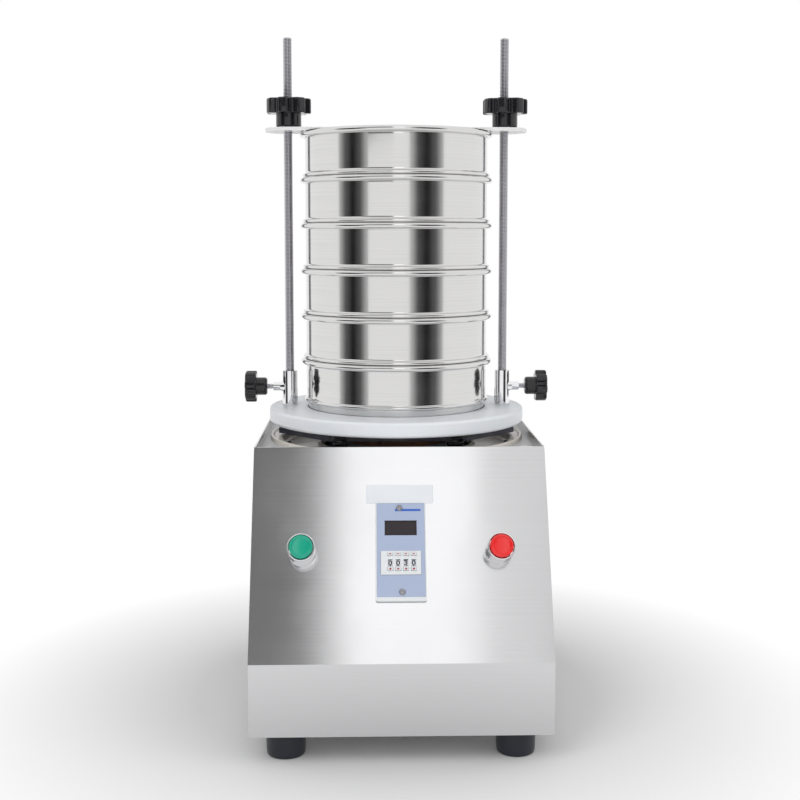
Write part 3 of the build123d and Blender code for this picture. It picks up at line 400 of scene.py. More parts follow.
# finish of the CAD nodes that stay
carried = {
    "base_plate": inner_steel, "front_panel": case_steel, "side_panels": case_steel,
    "back_panel": case_steel, "top_deck": deck_grey, "timer_housing": timer_white,
    "timer_face": timer_blue, "timer_window": timer_dark, "thumbwheel_frame": timer_white,
    "cable_gland": black_plastic, "contactor": black_plastic, "motor_plate": plate_dark,
    "table_bolts": bright_zinc, "rod_sleeves": chrome, "motor_body": motor_grey,
    "motor_end_covers": motor_grey, "motor_bearings": bearing_steel, "motor_shaft": bearing_steel,
    "eccentric_weights": weight_iron, "hold_down_bar": bar_white, "table_plate": plate_white,
}
for number in range(1, 5):
    carried[f"digit_wheel_{number}"] = timer_white
    carried[f"minus_pusher_{number}"] = timer_white
    carried[f"plus_pusher_{number}"] = timer_white
for number in range(2, SIEVES + 1):
    carried[f"sieve_{number}_mesh"] = fine_cloth
for node, finish in carried.items():
    node_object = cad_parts[node]
    for slot in node_object.material_slots:
        slot.material = finish


# threaded rods and studs

def thread(length, radius, pitch, chamfer):
    """A threaded rod from z = 0 up: a helical groove over its whole length, chamfered at both ends."""
    segments = 28
    steps = int(length / pitch * 5)
    points = [(0, 0, 0)]
    for i in range(steps + 1):
        z = length * i / steps
        limit = radius - max(0.0, chamfer - min(z, length - z))
        for k in range(segments):
            turn = k / segments
            phase = (z / pitch - turn) % 1.0
            groove = THREAD_DEPTH * pitch * max(0.0, 1 - abs(2 * phase - 1) - CREST) / (1 - CREST)
            r = min(radius - groove, limit)
            a = 2 * math.pi * turn
            points.append((r * math.cos(a), r * math.sin(a), z))
    points.append((0, 0, length))
    faces = []
    for k in range(segments):
        n = (k + 1) % segments
        faces.append((0, 1 + n, 1 + k))
        top = 1 + steps * segments
        faces.append((top + k, top + n, len(points) - 1))
        for i in range(steps):
            a = 1 + i * segments
            faces.append((a + k, a + n, a + segments + n, a + segments + k))
    return points, faces


for side in ("left", "right"):
    rod = f"{side}_rod"
    centre = middle(rod)
    length = high(rod).z - low(rod).z
    radius = (high(rod).x - low(rod).x) / 2
    points, faces = thread(length, radius, ROD_PITCH, 1.2 * MM)
    make(f"{rod}_thread", points, faces, upright(centre.x, centre.y, low(rod).z),
         rod_steel, rod, [rod], 60)
    stud = f"{side}_clamp_stud"
    outward = -1 if side == "left" else 1
    start = high(stud).x if side == "left" else low(stud).x
    points, faces = thread(high(stud).x - low(stud).x, (high(stud).z - low(stud).z) / 2,
                           STUD_PITCH, 0.5 * MM)
    make(f"{stud}_thread", points, faces,
         facing((start, middle(stud).y, middle(stud).z), (outward, 0, 0)),
         bright_zinc, stud, [stud], 60)


# star knobs

def star_shape(lobes, radius, hub_radius, hub_height):
    """How far a point of the knob stands from its axis: round on the hub, lobed above it."""
    def shape(angle, r, z):
        if z < hub_height - 1e-6 or r < hub_radius:
            return r
        swell = 0.5 + 0.5 * math.cos(lobes * angle)
        swell = min(1.0, swell * 1.45)
        swell = swell * swell * (3 - 2 * swell)
        share = min(1.0, (r - hub_radius) / (radius - hub_radius))
        return r * (1 - 0.215 * (1 - swell) * share)
    return shape


def star_knob(name, node, place, radius, hub_radius, hub_height, height, bore, rod_end):
    """A seven-lobed knob with a hub below and a boss round the bore on top."""
    profile = soften([
        (bore, 0), (hub_radius - 1.6 * MM, 0, 1.2 * MM), (hub_radius, 2.0 * MM, 1.0 * MM),
        (hub_radius, hub_height - 0.4 * MM), (hub_radius, hub_height),
        (radius, hub_height, 1.6 * MM), (radius, hub_height + height, 2.4 * MM),
        (radius * 0.55, hub_height + height, 1.0 * MM),
        (radius * 0.5, hub_height + height - 1.0 * MM, 0.8 * MM),
        (bore + 4.0 * MM, hub_height + height - 1.0 * MM, 0.8 * MM),
        (bore + 3.4 * MM, hub_height + height - 0.2 * MM, 0.6 * MM),
        (bore if rod_end else 0, hub_height + height - 0.2 * MM),
    ])
    if rod_end:
        profile.append((bore, 0))
    points, faces = turned(profile, 168, star_shape(7, radius, hub_radius * 1.02, hub_height))
    make(name, points, faces, place, knob_black, node, [node], 40)


for side in ("left", "right"):
    node = f"{side}_star_knob"
    centre = middle(node)
    height = high(node).z - low(node).z
    hub_height = 15.8 * MM
    star_knob(f"{side}_star", node, upright(centre.x, centre.y, low(node).z), 24.9 * MM,
              14 * MM, hub_height, height - hub_height, 5.3 * MM, True)
    node = f"{side}_clamp_knob"
    outward = -1 if side == "left" else 1
    start = high(node).x if side == "left" else low(node).x
    hub_height = 12.1 * MM
    length = high(node).x - low(node).x
    tilt = Matrix.Rotation(math.radians(12 if side == "left" else 37), 4, "Z")
    star_knob(f"{side}_clamp_star", node,
              facing((start, middle(node).y, middle(node).z), (outward, 0, 0)) @ tilt,
              17.6 * MM, 10 * MM, hub_height, length - hub_height, 3.05 * MM, False)


# sieves and receiving pan
INNER = 100.0 * MM
WALL = 1.2 * MM
RIM = 107.0 * MM
ROLL = 3.2 * MM
BEAD = 104.2 * MM
BEAD_ROLL = 2.2 * MM
SKIRT = 99.6 * MM
NEST = 8.0 * MM
STEP = 3.0 * MM


def rolled_rim(rim):
    """The rim's rolled edge, from the wall below it over the top to the inside."""
    points = [(INNER + WALL, rim - ROLL - 2.4 * MM), (INNER + WALL, rim - ROLL - 1.2 * MM)]
    points += arc(RIM - ROLL, rim, ROLL, -160, 90, 18)
    points += [(INNER + WALL, rim + ROLL), (INNER + 0.3 * MM, rim + ROLL - 0.1 * MM),
               (INNER, rim + ROLL - 0.6 * MM)]
    return points


def sieve_profile(rim, bottom):
    """Half section of a sieve frame, in height over its own skirt's lower edge."""
    seat = bottom + NEST + 0.06 * MM
    points = [(SKIRT - WALL, bottom), (SKIRT - 0.3 * MM, bottom), (SKIRT, bottom + 0.4 * MM),
              (SKIRT, seat - 0.3 * MM), (SKIRT + 0.6 * MM, seat)]
    points += arc(BEAD - BEAD_ROLL, seat + BEAD_ROLL, BEAD_ROLL, -90, 80, 12)
    points += [(INNER + WALL + 0.5 * MM, seat + 2 * BEAD_ROLL + 0.4 * MM),
               (INNER + WALL, seat + 2 * BEAD_ROLL + 1.4 * MM),
               (INNER + WALL, seat + 2 * BEAD_ROLL + 2.6 * MM)]
    points += rolled_rim(rim)
    points += [(INNER, seat + STEP + 0.7 * MM), (INNER, seat + STEP),
               (SKIRT - WALL, seat + STEP), (SKIRT - WALL, bottom)]
    return points


for number in range(1, SIEVES + 1):
    node = f"sieve_{number}_frame"
    bottom = low(node).z
    rim = high(node).z - bottom - ROLL
    points, faces = turned(sieve_profile(rim, 0), 192)
    make(f"sieve_{number}_shell", points, faces, upright(AXIS.x, AXIS.y, bottom),
         sieve_steel, f"sieve_{number}", [node], 38)

pan_low = low("receiving_pan").z
pan_rim = high("receiving_pan").z - pan_low - ROLL
pan_skirt = 99.05 * MM
pan_step = 11.0 * MM
pan_profile = soften([
    (0, 0), (pan_skirt, 0, 1.0 * MM), (pan_skirt, pan_step - 0.8 * MM),
    (101.0 * MM, pan_step - 1.2 * MM, 0.6 * MM), (103.0 * MM, pan_step - 0.4 * MM, 1.0 * MM),
    (103.2 * MM, pan_step + 2.2 * MM, 1.4 * MM), (INNER + WALL, pan_step + 3.6 * MM, 0.8 * MM),
    (INNER + WALL, pan_step + 6.0 * MM), (INNER + WALL, pan_rim - ROLL - 3.6 * MM),
]) + rolled_rim(pan_rim) + soften([
    (INNER, pan_rim), (INNER, pan_step + WALL, 1.2 * MM),
    (pan_skirt - WALL, pan_step + WALL - 0.1 * MM, 1.0 * MM),
    (pan_skirt - WALL, WALL, 1.6 * MM), (0, WALL),
])
points, faces = turned(pan_profile, 192)
make("receiving_pan_shell", points, faces, upright(AXIS.x, AXIS.y, pan_low),
     sieve_steel, "receiving_pan", ["receiving_pan"], 38)


def woven_disc(radius, pitch, wire):
    """Two sets of crossing wires that pass over and under each other, cut to a disc."""
    points = []
    faces = []
    count = int(radius / pitch)
    sides = 5
    for axis in (0, 1):
        for row in range(-count, count + 1):
            offset = row * pitch
            half = math.sqrt(max(0.0, radius * radius - offset * offset))
            steps = int(half * 2 / (pitch / 2))
            if steps < 2:
                continue
            first = len(points)
            for i in range(steps + 1):
                along = -half + 2 * half * i / steps
                phase = math.pi * (along / pitch) + math.pi * ((row + axis) % 2)
                height = wire * 0.55 * math.cos(phase)
                for k in range(sides):
                    a = 2 * math.pi * k / sides
                    side = offset + wire / 2 * math.cos(a)
                    z = height + wire / 2 * math.sin(a)
                    points.append((along, side, z) if axis == 0 else (side, along, z))
            for i in range(steps):
                for k in range(sides):
                    n = (k + 1) % sides
                    a = first + i * sides
                    face = (a + k, a + sides + k, a + sides + n, a + n)
                    faces.append(face if axis == 0 else face[::-1])
    return points, faces


mesh_node = "sieve_1_mesh"
points, faces = woven_disc(INNER - 0.6 * MM, 2.9 * MM, 0.8 * MM)
make("sieve_1_wire", points, faces,
     upright(AXIS.x, AXIS.y, middle(mesh_node).z), bearing_steel, "sieve_1",
     [mesh_node], 80)


# spring pan, springs and windings
deck = low("spring_pan").z
pan_height = high("spring_pan").z - deck
points, faces = turned(soften([
    (85.0 * MM, 0), (127.0 * MM, 0, 1.5 * MM), (131.0 * MM, 11.5 * MM, 1.0 * MM),
    (142.0 * MM, 11.5 * MM, 0.6 * MM), (142.0 * MM, pan_height, 1.5 * MM),
    (138.8 * MM, pan_height, 1.5 * MM), (137.4 * MM, 14.0 * MM, 1.5 * MM),
    (129.2 * MM, 14.0 * MM, 2.5 * MM), (126.4 * MM, 2.6 * MM, 3.0 * MM),
    (88.4 * MM, 2.5 * MM, 2.0 * MM), (87.0 * MM, 6.5 * MM, 0.8 * MM),
    (85.2 * MM, 6.5 * MM, 0.8 * MM), (85.0 * MM, 5.0 * MM), (85.0 * MM, 0),
]), 144)
make("spring_pan_dish", points, faces, upright(AXIS.x, AXIS.y, deck),
     pan_cream, "base", ["spring_pan"], 40)


def coil(radius, wire, turns, start, end, sides=10, per_turn=28):
    """A coil of wire whose end turns lie flat."""
    steps = int(turns * per_turn)
    points = []
    for i in range(steps + 1):
        t = i / steps
        rise = min(1.0, max(0.0, (t * turns - 0.8) / (turns - 1.6)))
        z = start + wire + (end - start - 2 * wire) * rise
        a = 2 * math.pi * turns * t
        for k in range(sides):
            b = 2 * math.pi * k / sides
            r = radius + wire * math.cos(b)
            points.append((r * math.cos(a), r * math.sin(a), z + wire * math.sin(b)))
    faces = [tuple(range(sides))]
    for i in range(steps):
        for k in range(sides):
            n = (k + 1) % sides
            a = i * sides
            faces.append((a + k, a + sides + k, a + sides + n, a + n))
    faces.append(tuple(reversed(range(steps * sides, (steps + 1) * sides))))
    return points, faces


spring_low = low("suspension_springs").z
spring_high = high("suspension_springs").z
spring_reach = high("suspension_springs") - low("suspension_springs")
cup = 8.5 * MM
spring_x = spring_reach.x / 2 - cup
spring_y = spring_reach.y / 2 - cup
for number, (sx, sy) in enumerate(((-1, -1), (1, -1), (-1, 1), (1, 1)), start=1):
    height = spring_high - spring_low
    shapes = [(*coil(6.6 * MM, 1.5 * MM, 6, 2.0 * MM, height - 2.0 * MM), Matrix())]
    cup_profile = soften([(0, 0), (cup, 0, 0.5 * MM), (cup, 2.6 * MM, 0.6 * MM),
                          (4.6 * MM, 2.6 * MM, 0.6 * MM), (4.2 * MM, 6.0 * MM, 0.8 * MM),
                          (0, 6.0 * MM)])
    shapes.append((*turned(cup_profile, 48), Matrix()))
    flip = Matrix.Translation((0, 0, height)) @ Matrix.Rotation(math.pi, 4, "X")
    shapes.append((*turned(cup_profile, 48), flip))
    points, faces = join_shapes(shapes)
    piece = make(f"suspension_spring_{number}", points, faces,
                 upright(AXIS.x + sx * spring_x, AXIS.y + sy * spring_y, spring_low),
                 spring_black, "base",
                 ["suspension_springs"] if number == 1 else [], 50)
    piece.parent = None
    piece.matrix_world = upright(AXIS.x + sx * spring_x, AXIS.y + sy * spring_y, spring_low)
    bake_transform(piece)


def bundle_shape(angle, radius, height):
    """Slight unevenness of a wound ring."""
    wave = math.sin(23 * angle) * 0.35 + math.sin(41 * angle + 1.3) * 0.25
    return radius + wave * 0.7 * MM if radius > 50 * MM else radius


windings_low = low("motor_windings").z
windings_height = high("motor_windings").z - windings_low
profile = [(46.0 * MM, 0)]
strands = 6
for i in range(strands):
    z = windings_height * (i + 0.5) / strands
    profile += arc(61.0 * MM, z, windings_height / strands / 2, -80, 80, 4)
profile += [(57.0 * MM, windings_height), (46.0 * MM, windings_height), (46.0 * MM, 0)]
points, faces = turned(profile, 220, bundle_shape)
make("motor_winding_ring", points, faces, upright(AXIS.x, AXIS.y, windings_low),
     winding, "table", ["motor_windings"], 70)


# feet
feet_low = low("rubber_feet")
feet_high = high("rubber_feet")
foot_radius = 20.0 * MM
foot_height = feet_high.z - feet_low.z
foot_places = [
    (x, y)
    for x in (feet_low.x + foot_radius, feet_high.x - foot_radius)
    for y in (feet_low.y + foot_radius, feet_high.y - foot_radius)
]
foot_profile = soften([
    (3.2 * MM, 9.5 * MM), (7.5 * MM, 9.5 * MM), (7.5 * MM, 0.4 * MM, 0.4 * MM),
    (8.2 * MM, 0, 0.4 * MM), (18.6 * MM, 0, 1.8 * MM), (19.4 * MM, 5.0 * MM, 3.0 * MM),
    (19.8 * MM, foot_height - 3.6 * MM, 1.0 * MM), (20.0 * MM, foot_height - 3.0 * MM, 0.6 * MM),
    (20.0 * MM, foot_height, 0.5 * MM), (3.2 * MM, foot_height), (3.2 * MM, 9.5 * MM),
])
for number, (x, y) in enumerate(foot_places, start=1):
    points, faces = turned(foot_profile, 72)
    make(f"rubber_foot_{number}", points, faces, upright(x, y), rubber_black,
         "base", ["rubber_feet"] if number == 1 else [], 40)


# screws with a cross recess

def cross_head(radius, height, recess):
    """A pan head with a cross recess, its back at z = 0."""
    segments = 64
    levels = [(0, 0)] + arc(radius - height * 0.7, height * 0.3, height * 0.7, 0, 90, 6)
    levels = [(radius, 0)] + levels[1:]
    for k in range(1, 14):
        levels.append(((radius - height * 0.7) * (1 - k / 14), height))
    points = []
    for r, z in levels:
        for k in range(segments):
            a = 2 * math.pi * k / segments
            x, y = r * math.cos(a), r * math.sin(a)
            arm = min(abs(x), abs(y)) < radius * 0.16 and max(abs(x), abs(y)) < radius * 0.55
            points.append((x, y, z - (recess if arm and z > height * 0.9 else 0)))
    points.append((0, 0, height - recess))
    faces = []
    for i in range(len(levels) - 1):
        for k in range(segments):
            n = (k + 1) % segments
            a = i * segments
            faces.append((a + k, a + n, a + segments + n, a + segments + k))
    last = (len(levels) - 1) * segments
    for k in range(segments):
        faces.append((last + k, last + (k + 1) % segments, len(points) - 1))
    return points, faces


def shank(radius, length):
    return turned([(radius, 0), (radius, -length + radius * 0.5), (radius * 0.5, -length), (0, -length)], 20)


def with_place(shape, place):
    return shape[0], shape[1], place


def hexagon(corner, bore, height):
    """A chamfered hexagon nut standing at z = 0."""
    def shape(angle, r, z):
        if r < bore + 0.1 * MM:
            return r
        local = (angle % (math.pi / 3)) - math.pi / 6
        return min(r, corner * math.cos(math.pi / 6) / math.cos(local))
    edge = corner * 0.07
    profile = [(bore, 0), (corner * 0.9, 0), (corner, edge), (corner, height - edge),
               (corner * 0.9, height), (bore, height), (bore, 0)]
    return turned(profile, 72, shape)


half_width = high("front_panel").x
back = high("back_panel").y
side_places = [(y, 37 * MM) for y in (FRONT + 58 * MM, (FRONT + back) / 2, back - 58 * MM)]
side_places += [(AXIS.y + side * 106.5 * MM, 277 * MM) for side in (-1, 1)]
shapes = []
for y, z in side_places:
    for side in (-1, 1):
        place = facing((side * half_width, y, z), (side, 0, 0)) @ Matrix.Rotation(y * 40, 4, "Z")
        shapes.append(with_place(cross_head(3.8 * MM, 2.4 * MM, 1.2 * MM), place))
        shapes.append(with_place(shank(2 * MM, 8 * MM), place))
for x in (-118.4 * MM, 118.4 * MM):
    for z in (37 * MM, 277 * MM):
        place = facing((x, back, z), (0, 1, 0)) @ Matrix.Rotation(x * 30 + z * 9, 4, "Z")
        shapes.append(with_place(cross_head(3.8 * MM, 2.4 * MM, 1.2 * MM), place))
        shapes.append(with_place(shank(2 * MM, 8 * MM), place))
for x, y in foot_places:
    head = facing((x, y, 9.5 * MM), (0, 0, -1))
    shapes.append(with_place(cross_head(6 * MM, 4 * MM, 2 * MM), head))
    shapes.append(with_place(shank(3 * MM, 29 * MM), head))
    shapes.append(with_place(hexagon(6 * MM, 3.05 * MM, 6 * MM), upright(x, y, 31 * MM)))
points, faces = join_shapes(shapes)
make("case_screws", points, faces, Matrix(), bright_zinc, "base", ["case_fasteners"], 30)

shapes = []
for x in (-118.1 * MM, 118.1 * MM):
    for y in (-64.1 * MM, 64.1 * MM):
        place = upright(AXIS.x + x, AXIS.y + y, deck + 14 * MM) @ Matrix.Rotation(x * 9 + y, 4, "Z")
        shapes.append(with_place(cross_head(2.6 * MM, 2.4 * MM, 1.0 * MM), place))
        shapes.append(with_place(shank(2 * MM, 8 * MM), place))
points, faces = join_shapes(shapes)
make("pan_screws", points, faces, Matrix(), black_screw, "base", (), 30)

# timer
TIMER_DOWN = 108 * MM
FACE_OUT = 5.3 * MM
shapes = []
for across, up, turn in ((-1.2 * MM, 43.5 * MM, 0.6), (1.0 * MM, -40.0 * MM, 0.2)):
    place = slope_frame(on_slope(TIMER_DOWN - up, across, FACE_OUT)) @ Matrix.Rotation(turn, 4, "Z")
    shapes.append(with_place(cross_head(3.15 * MM, 1.3 * MM, 1.0 * MM), place))
    shapes.append(with_place(shank(2 * MM, 8 * MM), place))
points, faces = join_shapes(shapes)
make("timer_screws", points, faces, Matrix(), dull_steel, "base", (), 30)

points, faces = slab(25.5 * MM, 2.2 * MM, 0.12 * MM, 0.2 * MM, 0.05 * MM)
make("timer_stripe", points, faces, slope_frame(on_slope(TIMER_DOWN - 41.3 * MM, 7.2 * MM, FACE_OUT)),
     print_blue, "base")

# blank sign plate over the timer
points, faces = slab(67.5 * MM, 18.8 * MM, 0.6 * MM, 1.2 * MM, 0.25 * MM)
make("sign_plate", points, faces, slope_frame(on_slope(49.2 * MM, -0.5 * MM, 0)),
     sign_white, "base")

# rim round the display window
rim_width = 0.55 * MM
window = 31.2 * MM, 14.2 * MM
shapes = []
for cx, cy, w, h in (
    (0, window[1] / 2, window[0] + 2 * rim_width, rim_width),
    (0, -window[1] / 2, window[0] + 2 * rim_width, rim_width),
    (window[0] / 2, 0, rim_width, window[1]),
    (-window[0] / 2, 0, rim_width, window[1]),
):
    shapes.append((*slab(w, h, 0.3 * MM, rim_width * 0.2, rim_width * 0.15), Matrix.Translation((cx, cy, 0))))
points, faces = join_shapes(shapes)
make("window_rim", points, faces, slope_frame(on_slope(TIMER_DOWN - 23.3 * MM, 0, FACE_OUT)),
     timer_dark, "base")

# digits on the wheels and the marks on the pushers


def digit_shape(digit, size):
    """Points and faces of one numeral, flat and centred."""
    curve = bpy.data.curves.new("numeral", "FONT")
    curve.body = digit
    curve.size = size
    curve.align_x = "CENTER"
    curve.align_y = "CENTER"
    curve.extrude = 0.05 * MM
    curve.offset = 0.16 * MM
    carrier = bpy.data.objects.new("numeral", curve)
    bpy.context.scene.collection.objects.link(carrier)
    bpy.context.view_layer.update()
    mesh = bpy.data.meshes.new_from_object(carrier)
    points = [(v.co.x * 1.3, v.co.y, v.co.z) for v in mesh.vertices]
    faces = [tuple(p.vertices) for p in mesh.polygons]
    bpy.data.objects.remove(carrier)
    bpy.data.curves.remove(curve)
    bpy.data.meshes.remove(mesh)
    return points, faces


WHEEL = 7.5 * MM
apothem = WHEEL * math.cos(math.pi / 10)
numerals = [digit_shape(str(n), 6.0 * MM) for n in range(10)]
shown = (0, 0, 3, 0)
for number in range(1, 5):
    centre = middle(f"digit_wheel_{number}")
    base_place = slope_frame(centre)
    shapes = []
    for k in range(10):
        digit = (shown[number - 1] + k) % 10
        place = (base_place @ Matrix.Rotation(math.radians(36 * k), 4, "X")
                 @ Matrix.Translation((0, 0, apothem)))
        shapes.append(with_place(numerals[digit], place))
    points, faces = join_shapes(shapes)
    make(f"wheel_digits_{number}", points, faces, Matrix(), print_dark,
         f"digit_wheel_{number}")
    for sign in ("minus", "plus"):
        node = f"{sign}_pusher_{number}"
        bars = [(*slab(2.4 * MM, 0.9 * MM, 0.1 * MM, 0.1 * MM, 0.03 * MM), Matrix())]
        if sign == "plus":
            bars.append((*slab(0.9 * MM, 2.2 * MM, 0.1 * MM, 0.1 * MM, 0.03 * MM), Matrix()))
        points, faces = join_shapes(bars)
        face_point = middle(node) + OUT * 1.2 * MM
        make(f"{sign}_mark_{number}", points, faces, slope_frame(face_point), print_red,
             node)


# push buttons
BUTTON_DOWN = 107.8 * MM
BEZEL = 28 * MM
for name, node, side, finish, slot in (
    ("start", "start_button", -1, button_green, "button_green"),
    ("stop", "stop_button", 1, button_red, "button_red"),
):
    across = side * 97.5 * MM
    profile = soften([
        (11.0 * MM, -30 * MM), (11.0 * MM, -5.6 * MM), (15.0 * MM, -5.4 * MM, 0.5 * MM),
        (15.0 * MM, -1.6 * MM), (11.0 * MM, -1.5 * MM), (11.0 * MM, 0),
        (13.8 * MM, 0, 0.4 * MM), (13.8 * MM, 1.4 * MM, 0.6 * MM), (13.2 * MM, 1.9 * MM, 0.4 * MM),
        (13.2 * MM, BEZEL - 7.6 * MM, 0.5 * MM), (12.6 * MM, BEZEL - 7.0 * MM, 0.4 * MM),
        (12.6 * MM, BEZEL - 6.2 * MM, 0.4 * MM), (13.6 * MM, BEZEL - 5.6 * MM, 0.5 * MM),
        (13.6 * MM, BEZEL - 0.6 * MM, 0.9 * MM), (12.9 * MM, BEZEL, 0.5 * MM),
        (12.1 * MM, BEZEL - 0.4 * MM, 0.4 * MM), (12.1 * MM, BEZEL - 16 * MM),
        (0, BEZEL - 16 * MM),
    ])
    points, faces = turned(profile, 128)
    make(f"{name}_bezel", points, faces, slope_frame(on_slope(BUTTON_DOWN, across)), chrome,
         "base", ["button_bezels"] if side < 0 else [], 40)
    cap_top = 13.2 * MM
    cap = soften([
        (0, 0), (11.3 * MM, 0, 0.5 * MM), (11.5 * MM, cap_top - 1.2 * MM, 0.6 * MM),
        (11.2 * MM, cap_top, 0.6 * MM), (10.0 * MM, cap_top + 0.5 * MM, 0.7 * MM),
        (9.0 * MM, cap_top, 0.8 * MM), (8.4 * MM, cap_top - 0.8 * MM, 0.8 * MM),
        (5.0 * MM, cap_top - 1.1 * MM, 2.0 * MM), (0, cap_top - 1.2 * MM),
    ])
    points, faces = turned(cap, 96)
    make(f"{name}_cap", points, faces,
         slope_frame(on_slope(BUTTON_DOWN, across, BEZEL + 1.2 * MM - 12.6 * MM)), finish,
         node, [node], 50)

# floor, backdrop and light
# the floor starts to turn white, and is white, so far from the origin
WHITE_STARTS = 0.22
WHITE_FULL = 0.5


def grid_plane(name, size, z, finish):
    mesh = bpy.data.meshes.new(name)
    half = size / 2
    mesh.from_pydata([(-half, -half, z), (half, -half, z), (half, half, z), (-half, half, z)],
                     [], [(0, 1, 2, 3)])
    mesh.materials.append(finish)
    plane = bpy.data.objects.new(name, mesh)
    bpy.context.scene.collection.objects.link(plane)


def sees_background(nodes, links):
    """1 for the rays that see the white background: camera, glossy and transmission."""
    path = nodes.new("ShaderNodeLightPath")
    value = path.outputs["Is Camera Ray"]
    for ray in ("Is Glossy Ray", "Is Transmission Ray"):
        larger = nodes.new("ShaderNodeMath")
        larger.operation = "MAXIMUM"
        links.new(value, larger.inputs[0])
        links.new(path.outputs[ray], larger.inputs[1])
        value = larger.outputs[0]
    return value


def floor_finish():
    """A pale floor that goes over into the white background away from the object."""
    material = bpy.data.materials.new("floor")
    material.use_nodes = True
    nodes = material.node_tree.nodes
    links = material.node_tree.links
    nodes.clear()
    output = nodes.new("ShaderNodeOutputMaterial")
    paint = nodes.new("ShaderNodeBsdfDiffuse")
    paint.inputs["Color"].default_value = (0.86, 0.86, 0.86, 1)
    coordinates = nodes.new("ShaderNodeTexCoord")
    reach = nodes.new("ShaderNodeVectorMath")
    reach.operation = "LENGTH"
    links.new(coordinates.outputs["Object"], reach.inputs[0])
    white = nodes.new("ShaderNodeEmission")
    white.inputs["Strength"].default_value = 1.0
    share = nodes.new("ShaderNodeMath")
    share.operation = "MULTIPLY"
    whiteness = spread(nodes, links, reach.outputs["Value"], 0.0, 1.0, WHITE_STARTS, WHITE_FULL)
    links.new(whiteness, share.inputs[0])
    links.new(sees_background(nodes, links), share.inputs[1])
    mix = nodes.new("ShaderNodeMixShader")
    links.new(share.outputs[0], mix.inputs[0])
    links.new(paint.outputs[0], mix.inputs[1])
    links.new(white.outputs[0], mix.inputs[2])
    links.new(mix.outputs[0], output.inputs[0])
    return material


grid_plane("floor", 3.2, 0.0, floor_finish())


def studio_world():
    """An even pale studio; its white background shows to camera, glossy and transmission rays."""
    world = bpy.data.worlds.new("studio")
    bpy.context.scene.world = world
    world.use_nodes = True
    nodes = world.node_tree.nodes
    links = world.node_tree.links
    nodes.clear()
    output = nodes.new("ShaderNodeOutputWorld")
    even = nodes.new("ShaderNodeBackground")
    even.inputs["Color"].default_value = (1, 1, 1, 1)
    even.inputs["Strength"].default_value = 0.60
    white = nodes.new("ShaderNodeBackground")
    white.inputs["Color"].default_value = (1, 1, 1, 1)
    white.inputs["Strength"].default_value = 1.0
    mix = nodes.new("ShaderNodeMixShader")
    links.new(sees_background(nodes, links), mix.inputs[0])
    links.new(even.outputs[0], mix.inputs[1])
    links.new(white.outputs[0], mix.inputs[2])
    links.new(mix.outputs[0], output.inputs["Surface"])


studio_world()


def soft_light(name, place, aim, size, watts, height=None):
    """An area light that lights the object; one with a height of its own also shows in reflections."""
    light = bpy.data.lights.new(name, "AREA")
    light.shape = "RECTANGLE" if height else "SQUARE"
    light.size = size
    if height:
        light.size_y = height
    light.energy = watts
    lamp = bpy.data.objects.new(name, light)
    bpy.context.scene.collection.objects.link(lamp)
    lamp.location = place
    lamp.rotation_euler = (Vector(aim) - Vector(place)).to_track_quat("-Z", "Y").to_euler()
    lamp.visible_glossy = bool(height)


soft_light("key_light", (-1.1, -1.5, 1.7), (0, 0, 0.3), 1.2, 13)
soft_light("fill_light", (1.5, -0.9, 1.2), (0, 0, 0.35), 1.2, 6)
soft_light("front_light", (0, -1.6, 0.6), (0, 0, 0.3), 0.6, 3)


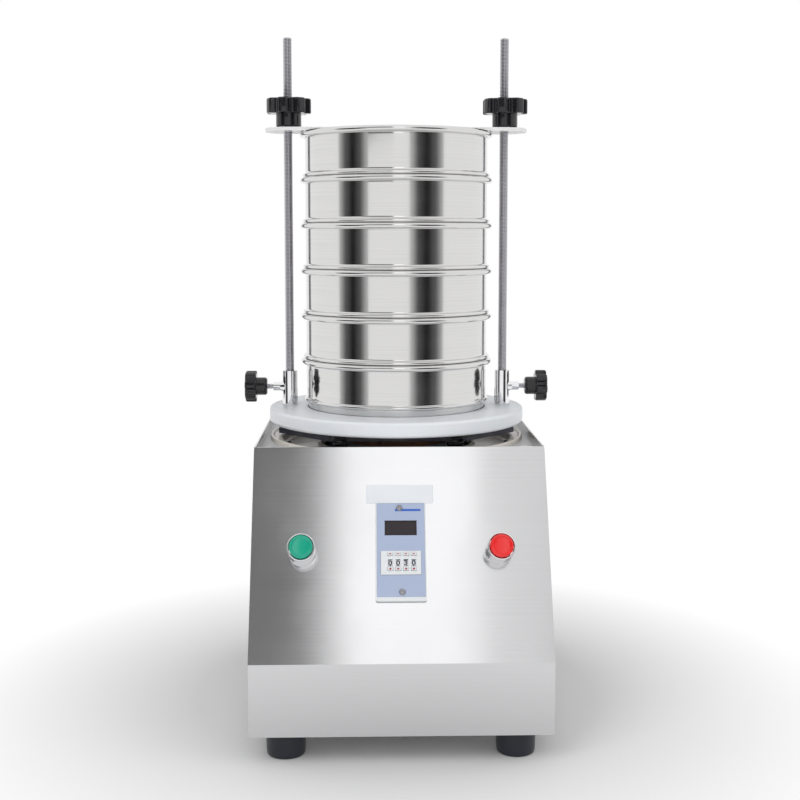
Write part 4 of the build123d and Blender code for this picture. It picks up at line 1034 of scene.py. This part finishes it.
def graded_card(name, place, aim, width, height, greys):
    """A matt card beside or over the camera, graded over its width; greys are (share, level). Its graded
    greys paint bright and dark reflection bands on the metal.
    """
    material, nodes, links, shader = new_material(name)
    shader.inputs["Roughness"].default_value = 1.0
    shader.inputs["Specular IOR Level"].default_value = 0.0
    coordinates = nodes.new("ShaderNodeTexCoord")
    split = nodes.new("ShaderNodeSeparateXYZ")
    across = nodes.new("ShaderNodeMapRange")
    across.inputs["From Min"].default_value = -width / 2
    across.inputs["From Max"].default_value = width / 2
    grade = nodes.new("ShaderNodeValToRGB")
    grade.color_ramp.interpolation = "EASE"
    elements = grade.color_ramp.elements
    elements.remove(elements[-1])
    for i, (share, level) in enumerate(greys):
        element = elements[0] if i == 0 else elements.new(share)
        element.position = share
        element.color = (level, level, level, 1)
    links.new(coordinates.outputs["Object"], split.inputs[0])
    links.new(split.outputs["X"], across.inputs["Value"])
    links.new(across.outputs["Result"], grade.inputs["Fac"])
    links.new(grade.outputs["Color"], shader.inputs["Base Color"])
    mesh = bpy.data.meshes.new(name)
    x, y = width / 2, height / 2
    mesh.from_pydata([(-x, -y, 0), (x, -y, 0), (x, y, 0), (-x, y, 0)], [], [(0, 1, 2, 3)])
    mesh.materials.append(material)
    card = bpy.data.objects.new(name, mesh)
    bpy.context.scene.collection.objects.link(card)
    toward = (Vector(aim) - Vector(place)).normalized()
    side = Vector((0, 0, 1)).cross(toward).normalized()
    card.matrix_world = (Matrix.Translation(place)
                         @ Matrix((side, toward.cross(side), toward)).transposed().to_4x4())
    card.visible_camera = False
    card.visible_shadow = False


def around(degrees, distance, height):
    """A place round the stack, its angle counted from straight in front towards the right."""
    a = math.radians(degrees)
    return AXIS.x + distance * math.sin(a), AXIS.y - distance * math.cos(a), height


# the upper cards and the panel's light stand in one plane over the camera
CARD_Y = -1.36
CARD_Z = 1.12
# the lower cards stand so far from the stack and so high
CARD_DISTANCE = 1.6
CARD_HEIGHT = 0.56
stack_middle = (AXIS.x, AXIS.y, 0.5)
# the cards' graded greys paint the bright and dark reflection bands on the steel; the cards are hidden from
# the camera and cast no shadow
graded_card("left_card", around(-55, CARD_DISTANCE, CARD_HEIGHT), stack_middle, 1.15, 1.1,
            [(0, 0.8), (0.3, 0.12), (0.5, 0.02), (0.72, 0.15), (1, 0.85)])
graded_card("right_card", around(36, CARD_DISTANCE, CARD_HEIGHT), stack_middle, 1.25, 1.1,
            [(0, 0.8), (0.28, 0.15), (0.5, 0.02), (0.72, 0.1), (1, 0.8)])
graded_card("upper_left_card", (-0.74, CARD_Y, CARD_Z), (-0.74, FRONT, 0.2), 1.2, 0.9,
            [(0, 0.36), (0.82, 0.36), (0.92, 0.75), (1, 1.0)])
graded_card("upper_right_card", (0.98, CARD_Y, CARD_Z), (0.98, FRONT, 0.2), 1.1, 0.9,
            [(0, 0.98), (0.2, 0.9), (1, 0.7)])
soft_light("panel_light", (0.06, CARD_Y, CARD_Z), (0.06, FRONT, 0.2), 0.3, 0.31, 0.65)

# camera, where the photograph was taken from
FOCAL_PIXELS = 1257.43
PICTURE_PIXELS = 800
camera_data = bpy.data.cameras.new("camera")
camera_data.sensor_width = 36.0
camera_data.lens = camera_data.sensor_width * FOCAL_PIXELS / PICTURE_PIXELS
camera_data.shift_x = 0.0015
camera_data.shift_y = -0.0555
camera_data.clip_end = 50
camera = bpy.data.objects.new("camera", camera_data)
camera.location = (-32.48 * MM, -1374.82 * MM, 511.55 * MM)
camera.rotation_euler = (math.radians(90 - 5.5), 0, math.radians(-1.433))
bpy.context.scene.collection.objects.link(camera)
bpy.context.scene.camera = camera
bpy.context.scene.view_settings.view_transform = "Standard"
